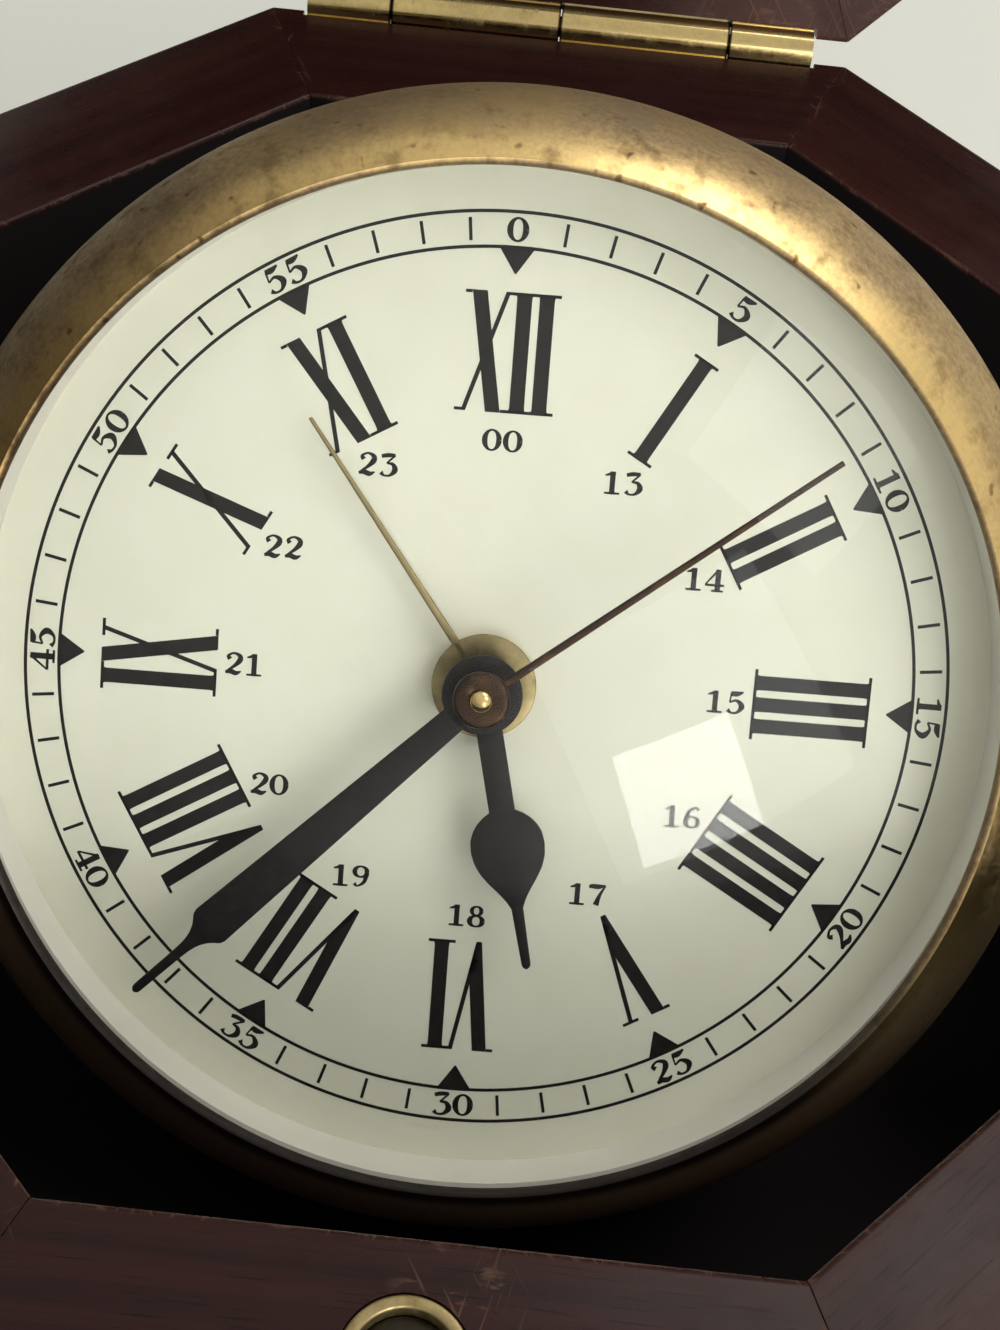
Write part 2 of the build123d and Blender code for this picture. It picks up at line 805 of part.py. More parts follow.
motion_module = 2 * setting_distance / (cannon_teeth + minute_wheel_teeth)
hour_module = 2 * setting_distance / (minute_pinion_teeth + hour_wheel_teeth)
alarm_module = 2 * setting_distance / (alarm_pinion_teeth + alarm_wheel_teeth)
third_module = 2 * third_distance / (second_pinion_teeth + third_wheel_teeth)
centre_module = 2 * third_distance / (third_pinion_teeth + centre_wheel_teeth)
second_module = 2 * intermediate_distance / (intermediate_pinion_teeth + second_wheel_teeth)
rotor_module = 2 * rotor_distance / (rotor_pinion_teeth + intermediate_wheel_teeth)

# Movement case


def case_outline(side, corner):
    """Square outline of the movement case with rounded corners."""
    RectangleRounded(side, side, corner)


with BuildPart() as movement_front:
    with BuildSketch(face_plane.offset(plate_front)):
        case_outline(case_side, case_corner)
    extrude(amount=front_shell_depth)
    with BuildSketch(face_plane.offset(plate_front)):
        case_outline(case_side - 2 * case_wall, case_corner - case_wall)
    extrude(amount=front_shell_depth - case_wall, mode=Mode.SUBTRACT)
    column(middle_place, stem_radius, case_front, nut_thickness)
    bore(middle_place, alarm_tube_radius + joint_clearance, inner_front, nut_thickness)
    for place in (time_place, alarm_place):
        bore(place, thin_arbor_radius + joint_clearance, inner_front, inner_front + pivot_hole_depth)
write_piece(movement_front, "movement_front")

with BuildPart() as middle_plate:
    with BuildSketch(face_plane.offset(plate_back)):
        case_outline(case_side, case_corner)
        with Locations((0, battery_y)):
            Rectangle(2 * inner_side, 2 * battery_radius + 2 * joint_clearance, mode=Mode.SUBTRACT)
        Circle(cannon_radius + joint_clearance, mode=Mode.SUBTRACT)
        with Locations(time_place, alarm_place):
            Circle(knob_arbor_radius + joint_clearance, mode=Mode.SUBTRACT)
        with Locations(third_place, intermediate_place, rotor_place):
            Circle(thin_arbor_radius + joint_clearance, mode=Mode.SUBTRACT)
    extrude(amount=middle_plate_thickness)
write_piece(middle_plate, "middle_plate")

with BuildPart() as movement_back:
    with BuildSketch(face_plane.offset(case_back)):
        case_outline(case_side, case_corner)
    extrude(amount=plate_back - case_back)
    with BuildSketch(face_plane.offset(inner_back)):
        case_outline(case_side - 2 * case_wall, case_corner - case_wall)
    extrude(amount=plate_back - inner_back, mode=Mode.SUBTRACT)
    for y in (coil_low_y, coil_high_y):
        column((coil_x, y), post_radius, inner_back, stator_top - stator_thickness)
    for post_share in (-board_post_share, board_post_share):
        post_place = (board_x + post_share * board_width, board_y)
        column(post_place, post_radius, inner_back, inner_back + board_stand_off)
    for place in (time_place, alarm_place):
        bore(place, knob_arbor_radius + joint_clearance, case_back, inner_back)
    for place in (middle_place, third_place, intermediate_place, rotor_place):
        bore(place, thin_arbor_radius + joint_clearance, inner_back - pivot_hole_depth, inner_back)
    with BuildSketch(face_plane.offset(case_back)):
        with Locations((0, battery_y)):
            Rectangle(battery_length, 2 * battery_radius - 2 * case_wall)
    extrude(amount=case_wall, mode=Mode.SUBTRACT)
write_piece(movement_back, "movement_back")

# Alarm: tube with its wheel and hand, setting arbor and knob


def hand_plane(height, angle):
    """Plane of a hand at its height over the dial, with y along the hand."""
    return turned(face_plane.offset(height), -angle)


def knob(place, radius):
    """A ridged knob on the end of an arbor behind the back cover."""
    with BuildPart() as piece:
        with BuildSketch(face_plane.offset(knob_back)):
            with Locations(place):
                Circle(radius)
                with PolarLocations(radius, knob_ridge_count):
                    Circle(ridge_radius, mode=Mode.SUBTRACT)
        extrude(amount=knob_height)
        bore(place, knob_arbor_radius, arbor_end, knob_front)
    return piece


with BuildPart() as alarm_wheel:
    toothed(middle_place, alarm_layer, wheel_thickness, alarm_wheel_teeth, alarm_module, alarm_arbor_angle)
    tube_foot = alarm_layer - wheel_thickness
    tube_end = alarm_height + hand_thickness
    column(middle_place, alarm_tube_radius, tube_foot, tube_end)
    bore(middle_place, hour_tube_radius + joint_clearance, tube_foot, tube_end)
write_piece(alarm_wheel, "alarm_wheel")

with BuildPart() as alarm_hand:
    with BuildSketch(hand_plane(alarm_height, alarm_angle)):
        Circle(alarm_disc_radius)
        Polygon(
            (-alarm_root / 2, 0),
            (alarm_root / 2, 0),
            (alarm_tip / 2, alarm_length),
            (-alarm_tip / 2, alarm_length),
            align=None,
        )
        Circle(alarm_tube_radius, mode=Mode.SUBTRACT)
    extrude(amount=hand_thickness)
write_piece(alarm_hand, "alarm_hand")

with BuildPart() as alarm_arbor:
    toothed(alarm_place, alarm_layer + pinion_lead, pinion_thickness, alarm_pinion_teeth, alarm_module,
            gap_phase(alarm_arbor_angle, alarm_pinion_teeth))
    column(alarm_place, knob_arbor_radius, arbor_end, alarm_layer)
    column(alarm_place, thin_arbor_radius, alarm_layer, inner_front + pivot_hole_depth - end_shake)
write_piece(alarm_arbor, "alarm_arbor")
write_piece(knob(alarm_place, alarm_knob_radius), "alarm_knob")

# Hour and minute hands with the wheels between them, and the time knob

with BuildPart() as hour_wheel:
    toothed(middle_place, hour_layer, wheel_thickness, hour_wheel_teeth, hour_module, time_arbor_angle)
    tube_foot = hour_layer - wheel_thickness
    tube_end = hour_height + hand_thickness
    column(middle_place, hour_tube_radius, tube_foot, tube_end)
    bore(middle_place, cannon_radius + joint_clearance, tube_foot, tube_end)
write_piece(hour_wheel, "hour_wheel")

with BuildPart() as hour_hand:
    bulb_start = (hour_shank / 2, hour_length * bulb_start_share)
    bulb_widest = (hour_bulb / 2, hour_length * bulb_widest_share)
    bulb_end = (hour_tip / 2, hour_length * bulb_end_share)
    with BuildSketch(hand_plane(hour_height, hour_angle)):
        with BuildLine():
            Polyline((0, 0), (hour_shank / 2, 0), bulb_start)
            Spline(bulb_start, bulb_widest, bulb_end, tangents=((1, 0), (0, 1)))
            Polyline(bulb_end, (hour_tip / 2, hour_length), (0, hour_length))
            mirror(about=Plane.YZ)
        make_face()
        Circle(hour_hub)
        Circle(hour_tube_radius, mode=Mode.SUBTRACT)
    extrude(amount=hand_thickness)
write_piece(hour_hand, "hour_hand")

with BuildPart() as cannon_pinion:
    toothed(middle_place, motion_layer + pinion_lead, pinion_thickness, cannon_teeth, motion_module,
            time_arbor_angle)
    column(middle_place, cannon_radius, cannon_end, minute_height + hand_thickness)
    bore(middle_place, second_arbor_radius + joint_clearance, cannon_end, minute_height + hand_thickness)
write_piece(cannon_pinion, "cannon_pinion")

with BuildPart() as minute_hand:
    shoulder_start = (minute_shoulder / 2, minute_length * shoulder_start_share)
    shoulder_end = (minute_tip / 2, minute_length * shoulder_end_share)
    with BuildSketch(hand_plane(minute_height, minute_angle)):
        with BuildLine():
            Polyline((0, 0), (minute_root / 2, 0), shoulder_start)
            Spline(shoulder_start, shoulder_end, tangents=((-1, 1), (0, 1)))
            Polyline(shoulder_end, (minute_tip / 2, minute_length), (0, minute_length))
            mirror(about=Plane.YZ)
        make_face()
        Circle(minute_hub)
        Circle(cannon_radius, mode=Mode.SUBTRACT)
    extrude(amount=hand_thickness)
write_piece(minute_hand, "minute_hand")

with BuildPart() as minute_wheel:
    toothed(time_place, motion_layer, wheel_thickness, minute_wheel_teeth, motion_module,
            gap_phase(time_arbor_angle, minute_wheel_teeth))
    toothed(time_place, hour_layer + pinion_lead, hour_layer - motion_layer, minute_pinion_teeth,
            hour_module, gap_phase(time_arbor_angle, minute_pinion_teeth))
    column(time_place, knob_arbor_radius, arbor_end, hour_layer)
    column(time_place, thin_arbor_radius, hour_layer, inner_front + pivot_hole_depth - end_shake)
write_piece(minute_wheel, "minute_wheel")
write_piece(knob(time_place, time_knob_radius), "time_knob")

# Second hand and the going train from the rotor to the centre wheel

with BuildPart() as second_wheel:
    toothed(middle_place, second_layer, wheel_thickness, second_wheel_teeth, second_module,
            intermediate_arbor_angle)
    toothed(middle_place, third_layer + pinion_lead, pinion_thickness, second_pinion_teeth, third_module,
            third_arbor_angle)
    column(middle_place, thin_arbor_radius, pivot_tip, cannon_end)
    column(middle_place, second_arbor_radius, cannon_end, second_height + second_boss_height)
write_piece(second_wheel, "second_wheel")

with BuildPart() as second_hand:
    with BuildSketch(hand_plane(second_height, second_angle)):
        Polygon(
            (-second_root / 2, 0),
            (second_root / 2, 0),
            (second_tip / 2, second_length),
            (-second_tip / 2, second_length),
            align=None,
        )
    extrude(amount=hand_thickness)
    column(middle_place, second_boss, second_height, second_height + second_boss_height)
    bore(middle_place, second_arbor_radius, second_height, second_height + second_boss_height)
write_piece(second_hand, "second_hand")

with BuildPart() as centre_cap:
    cap_foot = second_height + second_boss_height
    column(middle_place, second_cap_radius, cap_foot, cap_foot + second_cap_height)
    fillet(centre_cap.edges().sort_by(Axis(dial_origin, dial_axis))[-1], second_cap_height / 2)
write_piece(centre_cap, "centre_cap")

with BuildPart() as third_wheel:
    toothed(third_place, third_layer, wheel_thickness, third_wheel_teeth, third_module,
            gap_phase(third_arbor_angle, third_wheel_teeth))
    toothed(third_place, centre_layer + pinion_lead, centre_layer - third_layer, third_pinion_teeth,
            centre_module, gap_phase(third_arbor_angle, third_pinion_teeth))
    column(third_place, thin_arbor_radius, pivot_tip, plate_front)
write_piece(third_wheel, "third_wheel")

with BuildPart() as centre_wheel:
    toothed(middle_place, centre_layer, wheel_thickness, centre_wheel_teeth, centre_module,
            third_arbor_angle)
    bore(middle_place, cannon_radius + joint_clearance, centre_layer - wheel_thickness, centre_layer)
write_piece(centre_wheel, "centre_wheel")

with BuildPart() as intermediate_wheel:
    toothed(intermediate_place, intermediate_layer, wheel_thickness, intermediate_wheel_teeth, rotor_module,
            rotor_arbor_angle)
    toothed(intermediate_place, second_layer + pinion_lead, second_layer - intermediate_layer,
            intermediate_pinion_teeth, second_module,
            gap_phase(intermediate_arbor_angle, intermediate_pinion_teeth))
    column(intermediate_place, thin_arbor_radius, pivot_tip, plate_front)
write_piece(intermediate_wheel, "intermediate_wheel")

with BuildPart() as rotor:
    toothed(rotor_place, intermediate_layer + pinion_lead, pinion_thickness + end_shake, rotor_pinion_teeth,
            rotor_module, gap_phase(rotor_arbor_angle, rotor_pinion_teeth))
    column(rotor_place, rotor_radius, rotor_top - rotor_height, rotor_top)
    column(rotor_place, thin_arbor_radius, pivot_tip, plate_front)
write_piece(rotor, "rotor")

# Motor coil and stator

with BuildPart() as stator:
    with BuildSketch(face_plane.offset(stator_top - stator_thickness)):
        with Locations(rotor_place):
            Circle(stator_ring)
        with Locations((rotor_place.X, (rotor_place.Y + coil_high_y) / 2)):
            Rectangle(stator_width, coil_high_y - rotor_place.Y + stator_width)
        for y in (coil_low_y, coil_high_y):
            with Locations(((rotor_place.X + coil_x) / 2, y)):
                Rectangle(coil_x - rotor_place.X + stator_width, stator_width)
        with Locations(rotor_place):
            Circle(rotor_radius + stator_gap, mode=Mode.SUBTRACT)
    extrude(amount=stator_thickness)
write_piece(stator, "stator")

coil_length = coil_high_y - coil_low_y


def coil_plane(y):
    """Plane across the coil at a height on the dial."""
    origin = face_plane.from_local_coords((coil_x, y, coil_height))
    return Plane(origin, x_dir=face_plane.x_dir, z_dir=face_plane.y_dir)


with BuildPart() as coil_core:
    with BuildSketch(coil_plane(coil_low_y)):
        Circle(coil_core_radius)
    extrude(amount=coil_length)
    for y in (coil_low_y, coil_high_y):
        column((coil_x, y), coil_core_radius, stator_top, coil_height)
write_piece(coil_core, "coil_core")

with BuildPart() as coil_winding:
    with BuildSketch(coil_plane(coil_low_y + coil_length * (1 - coil_winding_share) / 2)):
        Circle(coil_radius)
        Circle(coil_core_radius + joint_clearance, mode=Mode.SUBTRACT)
    extrude(amount=coil_length * coil_winding_share)
write_piece(coil_winding, "coil_winding")

# Circuit board, quartz can, buzzer and battery

board_top = inner_back + board_stand_off + board_thickness

with BuildPart() as circuit_board:
    with BuildSketch(face_plane.offset(inner_back + board_stand_off)):
        with Locations((board_x, board_y)):
            Rectangle(board_width, board_height)
    extrude(amount=board_thickness)
write_piece(circuit_board, "circuit_board")

with BuildPart() as quartz_can:
    can_place = (board_x - quartz_length / 2, board_y, board_top + quartz_radius)
    can_origin = face_plane.from_local_coords(can_place)
    with BuildSketch(Plane(can_origin, x_dir=face_plane.y_dir, z_dir=face_plane.x_dir)):
        Circle(quartz_radius)
    extrude(amount=quartz_length)
write_piece(quartz_can, "quartz_can")

with BuildPart() as buzzer:
    column((buzzer_x, buzzer_y), buzzer_radius, inner_front - buzzer_height, inner_front)
write_piece(buzzer, "buzzer")


def battery_plane(x):
    """Plane across the battery at a distance from the middle, with its normal to the right."""
    origin = face_plane.from_local_coords((x, battery_y, battery_height))
    return Plane(origin, x_dir=face_plane.y_dir, z_dir=face_plane.x_dir)


with BuildPart() as battery:
    with BuildSketch(battery_plane(-battery_length / 2)):
        Circle(battery_radius)
    extrude(amount=battery_length - battery_nub_length)
    with BuildSketch(battery_plane(battery_length / 2 - battery_nub_length)):
        Circle(battery_nub_radius)
    extrude(amount=battery_nub_length)
write_piece(battery, "battery")

contact_wall = inner_side - joint_clearance
contact_tip = battery_length / 2 + joint_clearance

with BuildPart() as battery_contacts:
    for side in (-1, 1):
        with BuildSketch(battery_plane(side * contact_wall)):
            Rectangle(contact_side, contact_side)
        extrude(amount=-side * contact_thickness)
        with BuildSketch(battery_plane(side * (contact_wall - contact_thickness))):
            Circle(contact_root_radius)
        with BuildSketch(battery_plane(side * contact_tip)):
            Circle(contact_tip_radius)
        loft()
write_piece(battery_contacts, "battery_contacts")

# Back cover with its screws, battery door and alarm switch

slot_length = switch_stem_length + switch_travel + 2 * switch_clearance

with BuildPart() as back_cover:
    with BuildSketch(face_plane.offset(cover_outer)):
        Circle(back_cover_radius)
        with Locations(time_place, alarm_place):
            Circle(knob_arbor_radius + arbor_hole_clearance, mode=Mode.SUBTRACT)
        with Locations((0, battery_y)):
            Rectangle(door_length, door_width, mode=Mode.SUBTRACT)
        with Locations((switch_x + switch_travel / 2, switch_y)):
            Rectangle(slot_length, switch_stem_width + 2 * switch_clearance, mode=Mode.SUBTRACT)
    extrude(amount=back_cover_thickness)
    with BuildSketch(tilt_plane.offset(cover_outer)):
        with PolarLocations(cover_screw_circle, cover_screw_count, start_angle=45):
            Circle(cover_screw_radius + joint_clearance)
    extrude(amount=back_cover_thickness, mode=Mode.SUBTRACT)
write_piece(back_cover, "back_cover")

with BuildPart() as back_cover_screws:
    with BuildSketch(tilt_plane.offset(cover_outer - cover_screw_head_height)):
        with PolarLocations(cover_screw_circle, cover_screw_count, start_angle=45):
            Circle(cover_screw_head)
    extrude(amount=cover_screw_head_height)
    with BuildSketch(tilt_plane.offset(cover_outer)):
        with PolarLocations(cover_screw_circle, cover_screw_count, start_angle=45):
            Circle(cover_screw_radius)
    extrude(amount=cover_screw_length)
    with BuildSketch(tilt_plane.offset(cover_outer - cover_screw_head_height)):
        with PolarLocations(cover_screw_circle, cover_screw_count, start_angle=45):
            Rectangle(2 * cover_screw_head, slot_width)
    extrude(amount=slot_depth, mode=Mode.SUBTRACT)
write_piece(back_cover_screws, "back_cover_screws")

with BuildPart() as battery_door:
    with BuildSketch(face_plane.offset(cover_outer - door_thickness)):
        with Locations((0, battery_y)):
            RectangleRounded(door_length + 2 * door_lip, door_width + 2 * door_lip, door_lip)
    extrude(amount=door_thickness)
    with BuildSketch(face_plane.offset(cover_outer)):
        with Locations((0, battery_y)):
            Rectangle(door_length - 2 * door_clearance, door_width - 2 * door_clearance)
    extrude(amount=back_cover_thickness)
    with BuildSketch(face_plane.offset(cover_outer - door_thickness - door_grip_height)):
        with Locations((0, battery_y)):
            SlotOverall(door_grip_length, door_grip_width)
    extrude(amount=door_grip_height)
write_piece(battery_door, "battery_door")

with BuildPart() as alarm_switch:
    thumb_top = cover_outer - switch_clearance
    flange_foot = -drum_back + switch_clearance
    with BuildSketch(face_plane.offset(thumb_top - switch_thumb_height)):
        with Locations((switch_x, switch_y)):
            Rectangle(switch_thumb_length, switch_thumb_width)
    extrude(amount=switch_thumb_height)
    with BuildSketch(face_plane.offset(thumb_top)):
        with Locations((switch_x, switch_y)):
            Rectangle(switch_stem_length, switch_stem_width)
    extrude(amount=flange_foot - thumb_top)
    with BuildSketch(face_plane.offset(flange_foot)):
        with Locations((switch_x, switch_y)):
            Rectangle(
                switch_stem_length + 2 * switch_flange_margin,
                switch_stem_width + 2 * switch_flange_margin,
            )
    extrude(amount=switch_flange_thickness)
write_piece(alarm_switch, "alarm_switch")
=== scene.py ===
"""Ship's alarm clock in an octagonal mahogany box, in metres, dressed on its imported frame."""

import bmesh
import bpy
import numpy as np
from mathutils import Matrix


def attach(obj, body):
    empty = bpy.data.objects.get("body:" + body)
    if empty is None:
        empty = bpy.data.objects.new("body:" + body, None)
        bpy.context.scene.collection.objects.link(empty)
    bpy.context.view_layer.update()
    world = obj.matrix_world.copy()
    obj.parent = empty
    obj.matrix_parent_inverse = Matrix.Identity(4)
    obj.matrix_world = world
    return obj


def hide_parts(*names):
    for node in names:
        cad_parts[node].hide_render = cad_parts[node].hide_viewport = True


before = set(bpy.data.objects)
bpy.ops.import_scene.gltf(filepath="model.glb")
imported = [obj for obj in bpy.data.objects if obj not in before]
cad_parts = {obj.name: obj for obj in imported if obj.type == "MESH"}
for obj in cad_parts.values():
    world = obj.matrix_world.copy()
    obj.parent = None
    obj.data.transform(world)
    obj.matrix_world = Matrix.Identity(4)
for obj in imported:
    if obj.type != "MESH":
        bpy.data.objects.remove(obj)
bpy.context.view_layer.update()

# Mahogany of the box: straight grained, stained dark red brown and lacquered. The grain runs along each
# stave, with fine open pores, and the lacquer has worn pale along the edges and at the mitres.
mm = 0.001
wood_dark = (0.026, 0.0080, 0.0076)
wood_middle = (0.050, 0.0145, 0.0130)
wood_light = (0.080, 0.024, 0.0175)
wood_worn = (0.27, 0.155, 0.11)
# Pale colour added about a scuffed place: a painted light.
lit_pale = (0.17, 0.092, 0.085)
pore_dark = (0.006, 0.002, 0.002)
# Near black of the recess walls and floor: a painted shade.
recess_shade_black = (0.026, 0.020, 0.023)
streak_scale = (9.0, 420.0, 420.0)
fine_scale = (45.0, 2600.0, 2600.0)
pore_scale = (150.0, 4200.0, 4200.0)
band_scale = (3.5, 70.0, 70.0)
chip_scale = (260.0, 900.0, 900.0)
scratch_scale = (110.0, 1900.0, 1900.0)
scratch_slants = (58.0, 104.0)
dull_scale = 120.0
wood_relief = 0.03 * mm


def feed(inputs, feeds):
    """Links inputs to other nodes' sockets or sets them to values. A colour gets an alpha of one."""
    for name, value in feeds.items():
        if isinstance(value, bpy.types.NodeSocket):
            value.id_data.links.new(value, inputs[name])
        else:
            inputs[name].default_value = (*value, 1.0) if inputs[name].type == "RGBA" else value


def put(tree, kind, feeds=None, **settings):
    """A node of a tree, with its settings and what feeds its inputs."""
    node = tree.nodes.new(kind)
    for name, value in settings.items():
        setattr(node, name, value)
    feed(node.inputs, feeds or {})
    return node


def blend_colours(factor, first, second, way="MIX"):
    """The output that goes from the first colour to the second as the factor goes from zero to one."""
    feeds = {0: factor, 6: first, 7: second}
    return put(factor.id_data, "ShaderNodeMix", feeds, data_type="RGBA", blend_type=way).outputs[2]


def remap(value, low, high, new_low=0.0, new_high=1.0):
    """A smooth step of a value: new_low up to low, new_high from high on."""
    feeds = {"Value": value, "From Min": low, "From Max": high, "To Min": new_low, "To Max": new_high}
    return put(value.id_data, "ShaderNodeMapRange", feeds, interpolation_type="SMOOTHSTEP").outputs[0]


def reckon(operation, first, second):
    """The result of one sum on a socket and a value or a second socket, kept between zero and one."""
    feeds = {0: first, 1: second}
    return put(first.id_data, "ShaderNodeMath", feeds, operation=operation, use_clamp=True).outputs[0]


def object_place(tree):
    """The place of a point in its object's own axes."""
    return put(tree, "ShaderNodeTexCoord").outputs["Object"]


def map_place(tree, name):
    """The place of a point in one of its mesh's UV maps."""
    return put(tree, "ShaderNodeUVMap", uv_map=name).outputs[0]


def parts(vector):
    """The x, y and z of a vector."""
    return put(vector.id_data, "ShaderNodeSeparateXYZ", {0: vector}).outputs


def speckle(place, scale, detail=4.0, roughness=0.55):
    """Noise over a place that is stretched by a scale, a number or one for each axis, in cells to the
    metre."""
    stretch = scale if isinstance(scale, tuple) else (scale, scale, scale)
    tree = place.id_data
    laid = put(tree, "ShaderNodeMapping", {"Vector": place, "Scale": stretch})
    feeds = {"Vector": laid.outputs[0], "Scale": 1.0, "Detail": detail, "Roughness": roughness}
    return put(tree, "ShaderNodeTexNoise", feeds).outputs["Fac"]


def effect(name, **inputs):
    """An empty shader node group with inputs of given kinds that gives a colour, a roughness and a
    height, with the sockets of its input and output nodes."""
    tree = bpy.data.node_groups.new(name, "ShaderNodeTree")
    outputs = {"Color": "Color", "Roughness": "Float", "Height": "Float"}
    for way, sockets in (("INPUT", inputs), ("OUTPUT", outputs)):
        for label, kind in sockets.items():
            tree.interface.new_socket(label, in_out=way, socket_type="NodeSocket" + kind)
    return tree, tree.nodes.new("NodeGroupInput").outputs, tree.nodes.new("NodeGroupOutput").inputs


def new_finish(name, **constants):
    """A material with its tree and its shader, whose even values are set on the shader's own sockets."""
    material = bpy.data.materials.new(name)
    material.use_nodes = True
    shader = material.node_tree.nodes["Principled BSDF"]
    for label, value in constants.items():
        shader.inputs[label.replace("_", " ").title().replace("Ior", "IOR")].default_value = value
    return material, material.node_tree, shader.inputs


def bump(height, shader, distance, strength):
    """Feeds a height into a shader's normal."""
    feeds = {"Height": height, "Distance": distance, "Strength": strength}
    feed(shader, {"Normal": put(height.id_data, "ShaderNodeBump", feeds).outputs[0]})


wood_tree, wood_in, wood_out = effect("mahogany grain", Place="Vector", Wear="Float")
wood_place = wood_in["Place"]
streak = speckle(wood_place, streak_scale, 5.0)
fine = speckle(wood_place, fine_scale, 3.0)
band = speckle(wood_place, band_scale, 2.0)
pores = remap(speckle(wood_place, pore_scale, 2.0), 0.60, 0.70)
chips = remap(speckle(wood_place, chip_scale, 5.0, 0.65), 0.57, 0.66)
for slant in scratch_slants:
    turn = {"Vector": wood_place, "Rotation": (0, 0, np.radians(slant))}
    slanted = put(wood_tree, "ShaderNodeMapping", turn).outputs[0]
    scratch = remap(speckle(slanted, scratch_scale, 2.0), 0.60, 0.68)
    chips = reckon("MAXIMUM", chips, scratch)
worn = reckon("MULTIPLY", wood_in["Wear"], chips)
figure = wood_dark
for mask, tone in (
    (remap(streak, 0.30, 0.70), wood_middle),
    (remap(band, 0.42, 0.75, 0.0, 0.75), wood_light),
    (remap(fine, 0.35, 0.75, 0.0, 0.40), wood_dark),
    (reckon("MULTIPLY", pores, 0.75), pore_dark),
    (reckon("MULTIPLY", worn, 0.8), wood_worn),
):
    figure = blend_colours(mask, figure, tone)
dulled = remap(speckle(wood_place, dull_scale, 5.0, 0.7), 0.3, 0.8, 0.24, 0.40)
feed(wood_out, {
    "Color": figure,
    "Roughness": reckon("ADD", dulled, worn),
    "Height": reckon("SUBTRACT", fine, pores),
})


def lacquered_wood(name, scuffed=None):
    """Lacquered mahogany with its grain laid by the piece's UV map. A second map holds the wear of its
    edges, and marks the faces inside the recess, which are coloured near black and matt as painted shade. A
    scuffed place is a point, the reach of the wear about it, its strength and the strength of a pale painted
    light about it."""
    material, tree, shader = new_finish(name, coat_roughness=0.16, specular_ior_level=0.15)
    wear, shaded_recess, _ = parts(map_place(tree, "marks"))
    grain = put(tree, "ShaderNodeGroup", node_tree=wood_tree)
    colour = grain.outputs["Color"]
    if scuffed:
        middle, reach, strength, lit_strength = scuffed
        ends = {0: object_place(tree), 1: middle}
        away = put(tree, "ShaderNodeVectorMath", ends, operation="DISTANCE").outputs["Value"]
        wear = reckon("MAXIMUM", wear, remap(away, 0.5 * reach, reach, strength, 0.0))
        # Painted light: a pale colour added about the scuffed place, fading with distance.
        lit_share = remap(away, 0.4 * reach, 1.4 * reach, lit_strength, 0.0)
        colour = blend_colours(lit_share, colour, lit_pale, "ADD")
    feed(grain.inputs, {"Place": map_place(tree, "lay"), "Wear": wear})
    # Painted shade: the faces inside the recess are coloured near black, matt and without the coat.
    feed(shader, {
        "Base Color": blend_colours(shaded_recess, colour, recess_shade_black),
        "Roughness": reckon("ADD", grain.outputs["Roughness"], shaded_recess),
        "Coat Weight": remap(shaded_recess, 0.0, 1.0, 0.07, 0.0),
    })
    bump(grain.outputs["Height"], shader, wood_relief, 0.35)
    return material


# Base walls. Eight mahogany staves stand on edge, mitred at 22.5 degrees and glued into an octagon, with
# their edges eased. A fine groove shows at each mitre. The front one has the catch bored into its rim.
across_flats = 165.0 * mm
half = across_flats / 2
wall = 0.103 * across_flats
baize_thickness = 1.5 * mm
rim_z = 71.5023 * mm
edge_easing = 0.6 * mm
glue_line = 0.01 * mm
mitre_groove = 0.06 * mm
corner_share = np.tan(np.radians(22.5))
stave_turns = range(0, 360, 45)
merge_distance = 0.0002 * mm
sharp_angle = np.radians(33.0)


def run_length(line):
    """Distance run along a line of points, from zero at its first point."""
    steps = np.linalg.norm(np.diff(line, axis=0), axis=1)
    return np.concatenate(([0.0], np.cumsum(steps)))


def eased(corners, radius, steps=5):
    """A closed outline whose corners are curves (1-t)^2 a + 2t(1-t) c + t^2 b, with c the corner and a
    and b one radius from it along its edges. Its first point comes again at its end."""
    corner = np.array(corners, float)
    back = np.roll(corner, 1, axis=0) - corner
    on = np.roll(corner, -1, axis=0) - corner
    reach = np.broadcast_to(np.asarray(radius, float), len(corner))[:, None]
    start = (corner + back / np.linalg.norm(back, axis=1)[:, None] * reach)[:, None]
    end = (corner + on / np.linalg.norm(on, axis=1)[:, None] * reach)[:, None]
    t = np.linspace(0.0, 1.0, steps)[None, :, None]
    outline = ((1 - t) ** 2 * start + 2 * t * (1 - t) * corner[:, None] + t ** 2 * end).reshape(-1, 2)
    return np.vstack((outline, outline[:1]))


